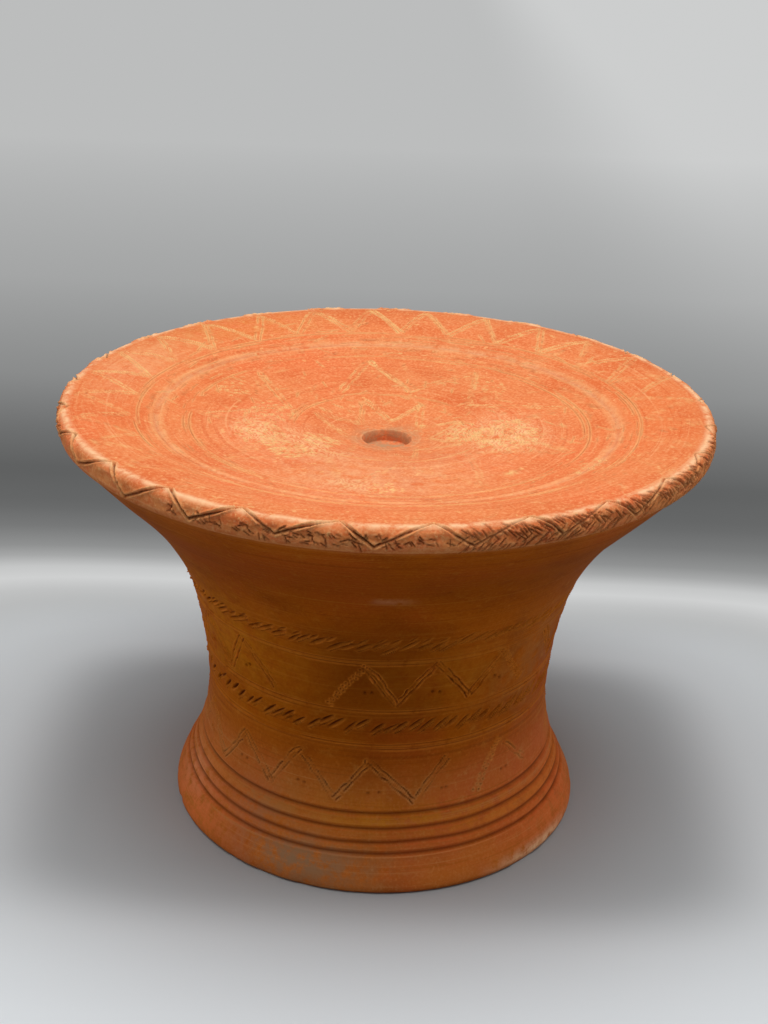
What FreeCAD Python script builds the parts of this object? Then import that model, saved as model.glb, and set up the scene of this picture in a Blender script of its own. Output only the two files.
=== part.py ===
"""Clay goblet drum with a wide dished clay head, built up from luted clay sections.

Every section is a full turn about +Z, so each one is drawn as a flat profile in the
XZ plane (x is the radius, z the height) and turned once. Neighbouring profiles are cut
from one another, so they meet face to face. Millimetres, +Z up, origin at the centre
of the circle that the foot stands on.
"""
import FreeCAD, Part
import os

# Overall sizes
RIM_RADIUS = 150.0            # widest part, the lip of the head
RIM_HEIGHT = 205.0            # the plane of the lip
FOOT_RADIUS = 100.5
WAIST_RADIUS = 83.7
WAIST_HEIGHT = 60.0           # where the body is narrowest
WALL = 11.0                   # body wall, square to the outline

# How the outline runs between foot, waist and rim: (share of the height, share of the spread)
FOOT_SWEEP = [(0.20, 0.835), (0.425, 0.43), (0.70, 0.125)]
BELL_SWEEP = [(0.20, 0.028), (0.47, 0.158), (0.74, 0.49), (0.88, 0.767)]
FOOT_EDGE_RADIUS = 2.5        # rounded edge that the foot stands on

# Lip of the head
LIP_OVERHANG = 2.0            # how far the lip stands out past the top of the bell wall
LIP_FACE_HEIGHT = 4.0         # upright band between the two rounded edges of the lip
LIP_EDGE_RADIUS = 3.5
RIM_COIL_WIDTH = 9.0          # clay coil that finishes the edge

# Dished head
HEAD_THICKNESS = 11.0
DISH_DEPTH = 20.5             # from the lip plane down to the mouth of the socket
DISH_SWEEP = [(0.32, 0.70), (0.49, 0.60), (0.65, 0.53), (0.79, 0.32), (0.92, 0.07)]
SOCKET_RADIUS = 10.9          # shallow blind hole in the middle of the head
SOCKET_DEPTH = 5.5
SOCKET_EDGE_RADIUS = 0.8

# Seams between the sections of the body, as heights at the outside
FOOT_RING_SEAM = 18.2
LOWER_BAND_SEAM = 68.4
WAIST_SEAM = 86.5
UPPER_BAND_SEAM = 115.1
BELL_SEAM = 131.0
SEAM_RISE = 6.0               # each seam is bevelled, this much higher inside than outside
LAP_DEPTH = 5.0               # half-wall step of the lap joint round the head
LAP_WIDTH = 3.0

# Clay coils smeared over the inside of a joint
HEAD_COIL_RADIUS = 12.0
FOOT_COIL_RADIUS = 6.0

# Grooves turned into the foot, as heights at the outside
FOOT_GROOVES = [35.4, 28.5, 22.8, FOOT_RING_SEAM]
GROOVE_TIP_RADIUS = 2.4       # round tip of the turning tool
GROOVE_DEPTH = 1.1

# Pairs of fine lines, as heights on the body and radii on the head
BODY_LINE_PAIRS = [LOWER_BAND_SEAM, WAIST_SEAM, UPPER_BAND_SEAM]
DISH_LINE_PAIRS = [45.0, 93.0, 116.0]
DISH_GROOVE = 106.5           # broad shallow ring between the field and the border
LINE_SPACING = 2.2
LINE_TIP_RADIUS = 1.0
LINE_DEPTH = 0.6

AXIS_POINT = FreeCAD.Vector(0, 0, 0)
UP = FreeCAD.Vector(0, 0, 1)
FULL_TURN = 360.0


def point(radius, height):
    return FreeCAD.Vector(radius, 0, height)


def smooth_curve(points, start_tangent, end_tangent):
    curve = Part.BSplineCurve()
    curve.interpolate(Points=points, InitialTangent=start_tangent, FinalTangent=end_tangent)
    return curve


def straight(start, end):
    return Part.LineSegment(start, end).toShape()


def arc(start, middle, end):
    return Part.Arc(start, middle, end).toShape()


def rounded_corner(start, corner, end):
    """Quarter round from start to end, both one radius away from a square corner."""
    centre = start + end - corner
    middle = centre + (corner - centre).normalize() * (start - centre).Length
    return arc(start, middle, end)


def profile(edges):
    return Part.Face(Part.Wire(Part.__sortEdges__(edges)))


def polygon(points):
    return Part.Face(Part.makePolygon(points + points[:1]))


def turned(face):
    return face.revolve(AXIS_POINT, UP, FULL_TURN)


def seat_height():
    return RIM_HEIGHT - HEAD_THICKNESS


def body_outline():
    """Outside of the body, from the foot's rounded edge up to the lip's underside."""
    foot_spread = FOOT_RADIUS - WAIST_RADIUS
    bell_radius = RIM_RADIUS - LIP_OVERHANG
    bell_spread = bell_radius - WAIST_RADIUS
    bell_height = seat_height() - WAIST_HEIGHT
    points = [point(FOOT_RADIUS, FOOT_EDGE_RADIUS)]
    for height_share, spread_share in FOOT_SWEEP:
        points.append(point(WAIST_RADIUS + foot_spread * spread_share, WAIST_HEIGHT * height_share))
    points.append(point(WAIST_RADIUS, WAIST_HEIGHT))
    for height_share, spread_share in BELL_SWEEP:
        points.append(point(WAIST_RADIUS + bell_spread * spread_share,
                            WAIST_HEIGHT + bell_height * height_share))
    points.append(point(bell_radius, seat_height()))
    return smooth_curve(points, point(0, 1), point(0.7, 0.7))


def inside_outline(outside):
    """Inside of the body, one wall in from the outside all the way up."""
    steps = 12
    points = []
    for step in range(steps + 1):
        at = outside.FirstParameter + (outside.LastParameter - outside.FirstParameter) * step / steps
        along = outside.tangent(at)[0]
        points.append(outside.value(at) + point(-along.z, along.x) * WALL)
    foot_tangent = outside.tangent(outside.FirstParameter)[0]
    rim_tangent = outside.tangent(outside.LastParameter)[0]
    return smooth_curve(points, foot_tangent, rim_tangent)


def parameter_at_height(curve, height):
    low = curve.FirstParameter
    high = curve.LastParameter
    for _ in range(50):
        middle = (low + high) / 2
        if curve.value(middle).z < height:
            low = middle
        else:
            high = middle
    return low


def parameter_at_radius(curve, radius):
    low = curve.FirstParameter
    high = curve.LastParameter
    for _ in range(50):
        middle = (low + high) / 2
        if curve.value(middle).x < radius:
            low = middle
        else:
            high = middle
    return low


def tool_tip(curve, at, side, tip_radius, depth):
    """Round tip of a turning tool, pressed into a curve at one place from one side of it."""
    along = curve.tangent(at)[0]
    out_of_clay = point(along.z, -along.x) * side
    centre = curve.value(at) + out_of_clay * (tip_radius - depth)
    circle = Part.Circle(centre, FreeCAD.Vector(0, 1, 0), tip_radius)
    return Part.Face(Part.Wire(circle.toShape()))


def line_pairs(places):
    """Both lines of each pair, half a spacing either side of its place."""
    return [place + side * LINE_SPACING / 2 for place in places for side in (-1, 1)]


def grooved_wall(wall, outside):
    for height in FOOT_GROOVES:
        at = parameter_at_height(outside, height)
        wall = wall.cut(tool_tip(outside, at, 1, GROOVE_TIP_RADIUS, GROOVE_DEPTH))
    for height in line_pairs(BODY_LINE_PAIRS):
        at = parameter_at_height(outside, height)
        wall = wall.cut(tool_tip(outside, at, 1, LINE_TIP_RADIUS, LINE_DEPTH))
    return wall


def grooved_head(head, dish):
    at = parameter_at_radius(dish, DISH_GROOVE)
    head = head.cut(tool_tip(dish, at, -1, GROOVE_TIP_RADIUS, GROOVE_DEPTH))
    for radius in line_pairs(DISH_LINE_PAIRS):
        at = parameter_at_radius(dish, radius)
        head = head.cut(tool_tip(dish, at, -1, LINE_TIP_RADIUS, LINE_DEPTH))
    return head


def body_wall_profile(outside, inside):
    """Whole body wall, from the ground up past the seat of the head."""
    inner_foot = inside.value(inside.FirstParameter)
    inner_top = inside.value(inside.LastParameter)
    outer_top = outside.value(outside.LastParameter)
    outer_ground = point(FOOT_RADIUS - FOOT_EDGE_RADIUS, 0)
    inner_ground = point(inner_foot.x + FOOT_EDGE_RADIUS, 0)
    return profile([
        rounded_corner(outer_ground, point(FOOT_RADIUS, 0), point(FOOT_RADIUS, FOOT_EDGE_RADIUS)),
        outside.toShape(),
        straight(outer_top, inner_top),
        inside.toShape(),
        rounded_corner(inner_ground, point(inner_foot.x, 0), inner_foot),
        straight(inner_ground, outer_ground),
    ])


def dish_curve():
    """Top of the head, from the socket's rounded edge out to the lip."""
    dish_radius = RIM_RADIUS - RIM_COIL_WIDTH
    points = [point(SOCKET_RADIUS + SOCKET_EDGE_RADIUS, RIM_HEIGHT - DISH_DEPTH)]
    for radius_share, depth_share in DISH_SWEEP:
        points.append(point(dish_radius * radius_share, RIM_HEIGHT - DISH_DEPTH * depth_share))
    points.append(point(dish_radius, RIM_HEIGHT))
    return smooth_curve(points, point(1.0, 0.05), point(1.0, 0.0))


def head_underside(dish):
    """Underside of the head, one thickness straight below the dish."""
    underside = dish.copy()
    underside.translate(FreeCAD.Vector(0, 0, -HEAD_THICKNESS))
    return underside


def head_profile(dish):
    """Dished plate with a blind socket in its middle and a half-lap edge for the rim coil."""
    dish_radius = RIM_RADIUS - RIM_COIL_WIDTH
    socket_mouth = RIM_HEIGHT - DISH_DEPTH
    socket_floor = socket_mouth - SOCKET_DEPTH
    socket_lip = SOCKET_RADIUS + SOCKET_EDGE_RADIUS
    plate_bottom = socket_mouth - HEAD_THICKNESS
    lap_radius = dish_radius + LAP_WIDTH
    lap_top = seat_height() + LAP_DEPTH
    return profile([
        dish.toShape(),
        straight(point(dish_radius, RIM_HEIGHT), point(dish_radius, lap_top)),
        straight(point(dish_radius, lap_top), point(lap_radius, lap_top)),
        straight(point(lap_radius, lap_top), point(lap_radius, seat_height())),
        straight(point(lap_radius, seat_height()), point(dish_radius, seat_height())),
        head_underside(dish).toShape(),
        straight(point(socket_lip, plate_bottom), point(0, plate_bottom)),
        straight(point(0, plate_bottom), point(0, socket_floor)),
        straight(point(0, socket_floor), point(SOCKET_RADIUS, socket_floor)),
        straight(point(SOCKET_RADIUS, socket_floor),
                 point(SOCKET_RADIUS, socket_mouth - SOCKET_EDGE_RADIUS)),
        rounded_corner(point(SOCKET_RADIUS, socket_mouth - SOCKET_EDGE_RADIUS),
                       point(SOCKET_RADIUS, socket_mouth), point(socket_lip, socket_mouth)),
    ])


def rim_coil_profile(head):
    """Rounded lip on top of the bell wall, lapped over the edge of the head."""
    inner = RIM_RADIUS - RIM_COIL_WIDTH
    under = point(RIM_RADIUS - LIP_OVERHANG, seat_height())
    face_top = RIM_HEIGHT - LIP_EDGE_RADIUS
    face_bottom = face_top - LIP_FACE_HEIGHT
    under_bulge = point(RIM_RADIUS - LIP_OVERHANG * 0.3, (seat_height() + face_bottom) / 2)
    lip = profile([
        straight(point(inner, seat_height()), under),
        arc(under, under_bulge, point(RIM_RADIUS, face_bottom)),
        straight(point(RIM_RADIUS, face_bottom), point(RIM_RADIUS, face_top)),
        rounded_corner(point(RIM_RADIUS, face_top), point(RIM_RADIUS, RIM_HEIGHT),
                       point(RIM_RADIUS - LIP_EDGE_RADIUS, RIM_HEIGHT)),
        straight(point(RIM_RADIUS - LIP_EDGE_RADIUS, RIM_HEIGHT), point(inner, RIM_HEIGHT)),
        straight(point(inner, RIM_HEIGHT), point(inner, seat_height())),
    ])
    return lip.cut(head)


def below_seam(outside, inside, height):
    """Everything under a bevelled seam, which climbs from the outside to the inside."""
    outer = outside.value(parameter_at_height(outside, height))
    inner = inside.value(parameter_at_height(inside, height + SEAM_RISE))
    reach = RIM_RADIUS * 2
    return polygon([
        point(0, -reach),
        point(reach, -reach),
        point(reach, outer.z),
        outer,
        inner,
        point(0, inner.z),
    ])


def body_sections(wall, outside, inside):
    """Body wall divided at its seams, from the foot up."""
    seams = [
        ("foot_ring", FOOT_RING_SEAM),
        ("foot_wall", LOWER_BAND_SEAM),
        ("lower_rope_band", WAIST_SEAM),
        ("waist_wall", UPPER_BAND_SEAM),
        ("upper_rope_band", BELL_SEAM),
    ]
    sections = {}
    rest = wall
    for name, height in seams:
        below = below_seam(outside, inside, height)
        sections[name] = rest.common(below)
        rest = rest.cut(below)
    sections["bell_wall"] = rest
    return sections


def chamber_profile(inside, dish):
    """Air inside the body, up to the underside of the head."""
    bottom = inside.value(inside.FirstParameter)
    top = inside.value(inside.LastParameter)
    air = profile([
        straight(point(0, bottom.z), bottom),
        inside.toShape(),
        straight(top, point(0, top.z)),
        straight(point(0, top.z), point(0, bottom.z)),
    ])
    underside = head_underside(dish)
    flat_edge = underside.value(underside.FirstParameter)
    head_edge = underside.value(underside.LastParameter)
    under_head = profile([
        underside.toShape(),
        straight(head_edge, point(head_edge.x, 0)),
        straight(point(head_edge.x, 0), point(0, 0)),
        straight(point(0, 0), point(0, flat_edge.z)),
        straight(point(0, flat_edge.z), flat_edge),
    ])
    return air.common(under_head)


def smeared_coil(centre, coil_radius, chamber):
    """Clay coil pressed into a joint from the inside, filling the corner round a point."""
    circle = Part.Circle(centre, FreeCAD.Vector(0, 1, 0), coil_radius)
    disc = Part.Face(Part.Wire(circle.toShape()))
    return disc.common(chamber)


def biggest_face(shape):
    return max(shape.Faces, key=lambda face: face.Area)


def section_profiles():
    outside = body_outline()
    inside = inside_outline(outside)
    dish = dish_curve()
    head = head_profile(dish)
    rim_coil = rim_coil_profile(head)
    wall = body_wall_profile(outside, inside)
    under_seat = polygon([
        point(0, -RIM_HEIGHT),
        point(RIM_RADIUS * 2, -RIM_HEIGHT),
        point(RIM_RADIUS * 2, seat_height()),
        point(0, seat_height()),
    ])
    wall = wall.common(under_seat).cut(head)
    chamber = chamber_profile(inside, dish)
    corner = inside.intersectCC(head_underside(dish))[0]
    head_corner = point(corner.X, corner.Z)
    foot_joint = inside.value(parameter_at_height(inside, FOOT_RING_SEAM + SEAM_RISE))
    head_coil = smeared_coil(head_corner, HEAD_COIL_RADIUS, chamber)
    foot_coil = smeared_coil(foot_joint, FOOT_COIL_RADIUS, chamber)
    profiles = body_sections(grooved_wall(wall, outside), outside, inside)
    profiles["head_dish"] = grooved_head(head, dish)
    profiles["rim_coil"] = rim_coil
    profiles["head_luting_coil"] = head_coil
    profiles["foot_luting_coil"] = foot_coil
    return profiles


def main():
    os.makedirs("parts", exist_ok=True)
    for name, face in section_profiles().items():
        solid = turned(biggest_face(face))
        solid.exportStep("parts/" + name + ".step")
        box = solid.BoundBox
        print(name, len(face.Faces), solid.ShapeType, solid.isValid(), round(solid.Volume),
              round(box.ZMin, 2), round(box.ZMax, 2), round(box.XMax, 2))


main()
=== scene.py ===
"""Looks of a hand-built clay goblet drum with a dished clay head.

Every shown piece of clay is turned from a profile, refined where a tool has marked it, and
then pressed, cut and worn by moving its points. Lengths are millimetres until a mesh is
finished, and angles round the drum start at its front and grow to the right.
"""

import logging
import math
from collections.abc import Iterator
from dataclasses import dataclass, field
from enum import Enum
from typing import NamedTuple

import bmesh
import bpy
import numpy as np
from mathutils import Matrix, Vector


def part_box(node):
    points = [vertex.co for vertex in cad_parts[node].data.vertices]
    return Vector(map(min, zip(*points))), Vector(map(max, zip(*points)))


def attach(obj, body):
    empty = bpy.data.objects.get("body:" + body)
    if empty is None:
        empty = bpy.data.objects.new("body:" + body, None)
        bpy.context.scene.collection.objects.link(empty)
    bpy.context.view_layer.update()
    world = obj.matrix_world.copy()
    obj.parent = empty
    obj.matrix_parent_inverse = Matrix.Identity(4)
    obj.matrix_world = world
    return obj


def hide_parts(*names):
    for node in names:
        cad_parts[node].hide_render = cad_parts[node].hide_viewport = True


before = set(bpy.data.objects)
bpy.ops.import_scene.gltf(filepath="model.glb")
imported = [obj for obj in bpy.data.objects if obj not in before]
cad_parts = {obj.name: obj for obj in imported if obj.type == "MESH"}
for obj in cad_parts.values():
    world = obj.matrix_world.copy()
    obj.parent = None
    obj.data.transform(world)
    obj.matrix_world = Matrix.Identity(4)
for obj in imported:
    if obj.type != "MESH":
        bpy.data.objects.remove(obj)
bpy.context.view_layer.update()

LOG = logging.getLogger("clay_drum")
MM = 0.001
TURN = 2.0 * math.pi
BODY = "root"

Colour = tuple[float, float, float]
Point = tuple[float, float]


class Side(Enum):
    """Which face of the clay a point lies on."""

    SEAM = 0
    OUTSIDE = 1
    INSIDE = 2


class Tool(Enum):
    """What a mark was made with."""

    SCRIBER = "thin cut with a burr on both sides"
    ROPE = "slanting lens-shaped dent with a ledge pushed up below it"
    PRICK = "round dot"


def srgb(red: int, green: int, blue: int) -> Colour:
    """Turn a colour written as 0 to 255 into the linear numbers that a shader takes.

    Args:
        red: Red, 0 to 255.
        green: Green, 0 to 255.
        blue: Blue, 0 to 255.

    Returns:
        The same colour in linear light.
    """
    def linear(value: int) -> float:
        """Return one channel in linear light."""
        share = value / 255.0
        return share / 12.92 if share <= 0.04045 else ((share + 0.055) / 1.055) ** 2.4

    return linear(red), linear(green), linear(blue)


def fade(value: np.ndarray, low: float, high: float) -> np.ndarray:
    """Rise smoothly from 0 at low to 1 at high.

    Args:
        value: Numbers to grade.
        low: Where the rise starts.
        high: Where it ends.

    Returns:
        Numbers from 0 to 1.
    """
    share = np.clip((value - low) / (high - low), 0.0, 1.0)
    return share * share * (3.0 - 2.0 * share)


def wrapped(angle: np.ndarray) -> np.ndarray:
    """Return angles brought to between minus half a turn and half a turn."""
    return (angle + math.pi) % TURN - math.pi


def box_mm(node: str) -> tuple[Vector, Vector]:
    """Return a node's lowest and highest corner in millimetres."""
    low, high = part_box(node)
    return low / MM, high / MM


# ---------------------------------------------------------------------------------------
# Profiles
# ---------------------------------------------------------------------------------------


def smooth_line(points: list[Point], start: Point, end: Point, step: float = 0.25) -> np.ndarray:
    """Run a smooth curve through points in the plane of radius and height.

    Args:
        points: Radius and height of each point.
        start: Direction in which the curve leaves its first point.
        end: Direction in which it reaches its last point.
        step: Rough distance between the points returned.

    Returns:
        Closely spaced points on the curve, one row each.
    """
    place = np.array(points, float)
    gaps = np.hypot(*np.diff(place, axis=0).T)
    count = len(place)
    system = np.zeros((count, count))
    known = np.zeros((count, 2))
    system[0, 0] = system[-1, -1] = 1.0
    known[0] = np.array(start) / math.hypot(*start)
    known[-1] = np.array(end) / math.hypot(*end)
    for i in range(1, count - 1):
        before, after = gaps[i - 1], gaps[i]
        system[i, i - 1:i + 2] = after, 2.0 * (before + after), before
        rise_in = (place[i] - place[i - 1]) / before
        rise_out = (place[i + 1] - place[i]) / after
        known[i] = 3.0 * (after * rise_in + before * rise_out)
    slopes = np.linalg.solve(system, known)
    pieces = []
    for i, gap in enumerate(gaps):
        t = np.linspace(0.0, 1.0, max(2, int(gap / step)), endpoint=False)[:, None]
        pieces.append(
            place[i] * (2 * t**3 - 3 * t**2 + 1) + slopes[i] * gap * (t**3 - 2 * t**2 + t)
            + place[i + 1] * (3 * t**2 - 2 * t**3) + slopes[i + 1] * gap * (t**3 - t**2)
        )
    return np.vstack(pieces + [place[-1:]])


def arc_line(centre: Point, radius: float, start: float, end: float, count: int = 12) -> np.ndarray:
    """Return points on an arc, from one angle to another, in degrees from the radius's own direction."""
    angles = np.radians(np.linspace(start, end, count))
    return np.column_stack([centre[0] + radius * np.cos(angles), centre[1] + radius * np.sin(angles)])


@dataclass(frozen=True)
class Meridian:
    """A line in the plane of radius and height, measured by the distance along it.

    Walked in its own direction, the clay's outside is on its right.
    """

    along: np.ndarray
    radius: np.ndarray
    height: np.ndarray

    @classmethod
    def through(cls, *lines: np.ndarray) -> "Meridian":
        """Join lines end to end, dropping points that repeat.

        Args:
            lines: Points of each line, one row each.

        Returns:
            The joined line.
        """
        points = np.vstack(lines)
        keep = np.concatenate([[True], np.hypot(*np.diff(points, axis=0).T) > 1e-6])
        points = points[keep]
        along = np.concatenate([[0.0], np.cumsum(np.hypot(*np.diff(points, axis=0).T))])
        return cls(along, points[:, 0], points[:, 1])

    @property
    def length(self) -> float:
        """Length of the whole line."""
        return float(self.along[-1])

    def place(self, along: np.ndarray) -> tuple[np.ndarray, np.ndarray]:
        """Return the radius and height at distances along the line."""
        return np.interp(along, self.along, self.radius), np.interp(along, self.along, self.height)

    def normal(self, along: np.ndarray) -> tuple[np.ndarray, np.ndarray]:
        """Return the direction out of the clay, as its radius and height parts.

        Args:
            along: Distances along the line.

        Returns:
            The radius and height parts of the unit normals.
        """
        reach = 0.6
        ahead = self.place(np.minimum(along + reach, self.length))
        behind = self.place(np.maximum(along - reach, 0.0))
        run, rise = ahead[0] - behind[0], ahead[1] - behind[1]
        size = np.maximum(np.hypot(run, rise), 1e-9)
        return rise / size, -run / size

    def at_height(self, height: float) -> float:
        """Return how far along the line it first passes a height.

        Args:
            height: The height, in millimetres.

        Returns:
            The distance along the line.
        """
        crossing = int(np.argmax(self.height >= height))
        before = max(crossing - 1, 0)
        span = self.height[crossing] - self.height[before]
        share = 0.0 if span <= 0 else (height - self.height[before]) / span
        return float(self.along[before] + share * (self.along[crossing] - self.along[before]))

    def at_radius(self, radius: float, after: float = 0.0) -> float:
        """Return how far along the line it comes in to a radius, past a given distance.

        Args:
            radius: The radius, in millimetres.
            after: Distance along the line to start from.

        Returns:
            The distance along the line.
        """
        crossing = int(np.argmax((self.radius <= radius) & (self.along > after)))
        before = max(crossing - 1, 0)
        span = self.radius[before] - self.radius[crossing]
        share = 0.0 if span <= 0 else (self.radius[before] - radius) / span
        return float(self.along[before] + min(share, 1.0) * (self.along[crossing] - self.along[before]))

    def faces_up(self, along: float) -> bool:
        """Tell whether the skin looks up at a distance along it."""
        return bool(self.normal(np.array([along]))[1][0] > 0.8)

    def path(self, start: Point, end: Point, cuts: int, aside: float, bow: float) -> list[Point]:
        """Lead a straight line over the skin from one place to another.

        Args:
            start: Angle and distance along the skin where it starts.
            end: The same where it ends.
            cuts: How many stretches it is divided into.
            aside: How far the whole line is moved to its left.
            bow: How far its middle is moved further.

        Returns:
            The places at the ends of the stretches.
        """
        shares = [i / cuts for i in range(cuts + 1)]
        asides = [aside + bow * 4.0 * share * (1.0 - share) for share in shares]
        radii = self.place(np.array([start[1], end[1]]))[0]
        sweep = float(wrapped(np.array(end[0] - start[0])))
        if self.faces_up(start[1]) and self.faces_up(end[1]):
            first = np.array([math.sin(start[0]), -math.cos(start[0])]) * radii[0]
            last = np.array([math.sin(end[0]), -math.cos(end[0])]) * radii[1]
            course = last - first
            left = np.array([-course[1], course[0]]) / max(float(np.hypot(*course)), 1e-6)
            before = min(start[1], end[1]) - 12.0
            places = [first + course * share + left * off for share, off in zip(shares, asides)]
            return [(math.atan2(x, -y), self.at_radius(math.hypot(x, y), before)) for x, y in places]
        radius = float(radii.mean())
        run, rise = sweep * radius, end[1] - start[1]
        length = max(math.hypot(run, rise), 1e-6)
        return [(start[0] + sweep * share - rise / length * off / radius,
                 start[1] + rise * share + run / length * off) for share, off in zip(shares, asides)]


@dataclass(frozen=True)
class Outline:
    """Sizes and shape of the drum's wall, outside and inside."""

    wall: float = 11.0
    seam_rise: float = 6.0
    foot_edge: float = 2.5
    waist_radius: float = 83.7
    waist_height: float = 60.0
    lip_overhang: float = 2.0
    lip_face: float = 4.0
    lip_edge: float = 3.5
    rim_coil_width: float = 9.0
    dish_depth: float = 20.5
    head_thickness: float = 11.0
    socket_radius: float = 10.9
    socket_depth: float = 5.5
    socket_edge: float = 0.8
    socket_bevel: float = 0.5
    foot_sweep: tuple[Point, ...] = ((0.20, 0.835), (0.425, 0.43), (0.70, 0.125))
    bell_sweep: tuple[Point, ...] = ((0.20, 0.028), (0.47, 0.158), (0.74, 0.49), (0.88, 0.767))
    dish_sweep: tuple[Point, ...] = ((0.32, 0.70), (0.49, 0.60), (0.65, 0.53), (0.79, 0.32), (0.92, 0.07))

    @property
    def rim_radius(self) -> float:
        """Radius of the lip."""
        return box_mm("rim_coil")[1].x

    @property
    def rim_height(self) -> float:
        """Height of the lip's top."""
        return box_mm("rim_coil")[1].z

    @property
    def seat_height(self) -> float:
        """Height at which the head and the lip sit on the wall."""
        return self.rim_height - self.head_thickness

    @property
    def dish_radius(self) -> float:
        """Radius at which the lip ends and the dish starts."""
        return self.rim_radius - self.rim_coil_width

    def body_line(self) -> np.ndarray:
        """Return the outside of the body from its rounded foot to the lip's underside.

        Returns:
            Points, as radius and height.
        """
        foot_radius = box_mm("foot_ring")[1].x
        foot_spread = foot_radius - self.waist_radius
        bell_radius = self.rim_radius - self.lip_overhang
        bell_spread = bell_radius - self.waist_radius
        bell_height = self.seat_height - self.waist_height
        points = [(foot_radius, self.foot_edge)]
        for tall, wide in self.foot_sweep:
            points.append((self.waist_radius + foot_spread * wide, self.waist_height * tall))
        points.append((self.waist_radius, self.waist_height))
        for tall, wide in self.bell_sweep:
            points.append((self.waist_radius + bell_spread * wide, self.waist_height + bell_height * tall))
        points.append((bell_radius, self.seat_height))
        return smooth_line(points, (0.0, 1.0), (0.7, 0.7))

    def dish_line(self) -> np.ndarray:
        """Return the top of the head from the socket out to the lip.

        Returns:
            Points, as radius and height.
        """
        points = [(self.socket_radius + self.socket_edge, self.rim_height - self.dish_depth)]
        for wide, deep in self.dish_sweep:
            points.append((self.dish_radius * wide, self.rim_height - self.dish_depth * deep))
        points.append((self.dish_radius, self.rim_height))
        return smooth_line(points, (1.0, 0.05), (1.0, 0.0))

    def outside(self) -> Meridian:
        """Return the outer skin, from under the foot, over the lip and down into the socket.

        Returns:
            The skin, as one line.
        """
        body = self.body_line()
        foot = arc_line((body[0, 0] - self.foot_edge, self.foot_edge), self.foot_edge, -90, 0)
        bell_radius = self.rim_radius - self.lip_overhang
        face_top = self.rim_height - self.lip_edge
        lip_ends = [(bell_radius, self.seat_height), (self.rim_radius, face_top - self.lip_face)]
        lip_under = smooth_line(lip_ends, (0.9, 0.4), (0.0, 1.0))
        lip_top = arc_line((self.rim_radius - self.lip_edge, face_top), self.lip_edge, 0, 90)
        mouth = self.rim_height - self.dish_depth
        socket_round = arc_line((self.socket_radius + self.socket_edge, mouth - self.socket_edge),
                                self.socket_edge, 90, 180)
        floor = mouth - self.socket_depth
        bevel = self.socket_bevel
        socket = np.array([(self.socket_radius, floor + bevel), (self.socket_radius - bevel, floor),
                           (0.0, floor)])
        dish = self.dish_line()[::-1]
        return Meridian.through(foot, body, lip_under, lip_top, dish, socket_round, socket)

    def inside(self) -> Meridian:
        """Return the inner skin, from under the foot, up the wall and in to the middle of the head.

        Returns:
            The skin, as one line.
        """
        body = Meridian.through(self.body_line())
        out_r, out_z = body.normal(body.along)
        wall = np.column_stack([body.radius - out_r * self.wall, body.height - out_z * self.wall])
        under = self.dish_line()[::-1] - np.array([0.0, self.head_thickness])
        ceiling = np.interp(wall[:, 0], under[::-1, 0], under[::-1, 1])
        wall = wall[: int(np.argmax(wall[:, 1] > ceiling))]
        under = under[under[:, 0] < wall[-1, 0]]
        foot = arc_line((wall[0, 0] + self.foot_edge, self.foot_edge), self.foot_edge, 270, 180)
        middle = np.array([[0.0, under[-1, 1]]])
        return Meridian.through(foot, wall, under, middle)


# ---------------------------------------------------------------------------------------
# Unevenness and tool marks
# ---------------------------------------------------------------------------------------


@dataclass(frozen=True)
class Lumps:
    """Smooth random unevenness of one size, the same on every run."""

    size: float
    seed: int

    def at(self, points: np.ndarray) -> np.ndarray:
        """Return a number from -1 to 1 at each point.

        Args:
            points: Places in millimetres, one row each.

        Returns:
            One number for each point.
        """
        rng = np.random.default_rng(self.seed)
        table = rng.uniform(-1.0, 1.0, 4096)
        order = rng.permutation(4096)
        cell = points / self.size + 700.5
        low = np.floor(cell).astype(int)
        share = cell - low
        share = share * share * (3.0 - 2.0 * share)
        total = np.zeros(len(points))
        for corner in range(8):
            step = np.array([corner & 1, (corner >> 1) & 1, (corner >> 2) & 1])
            slot = low + step
            index = order[(order[(order[slot[:, 0] & 4095] + slot[:, 1]) & 4095] + slot[:, 2]) & 4095]
            weight = np.prod(np.where(step == 1, share, 1.0 - share), axis=1)
            total += weight * table[index]
        return total


@dataclass(frozen=True)
class Stroke:
    """One mark of a hand tool, from one place on the outside to another.

    A place is an angle in radians and a distance along the outer skin.
    """

    start: Point
    end: Point
    width: float
    depth: float
    burr: float = 0.0
    lime: float = 0.0
    tool: Tool = Tool.SCRIBER


@dataclass(frozen=True)
class TurnedLine:
    """A line cut while the clay turned, at one distance along the outer skin."""

    along: float
    width: float
    depth: float
    burr: float = 0.0
    lime: float = 0.0
    wander: float = 0.3
    broken: float = 0.0
    # Strength of the painted shade down the line.
    dark: float = 0.7
    seed: int = 0


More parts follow.
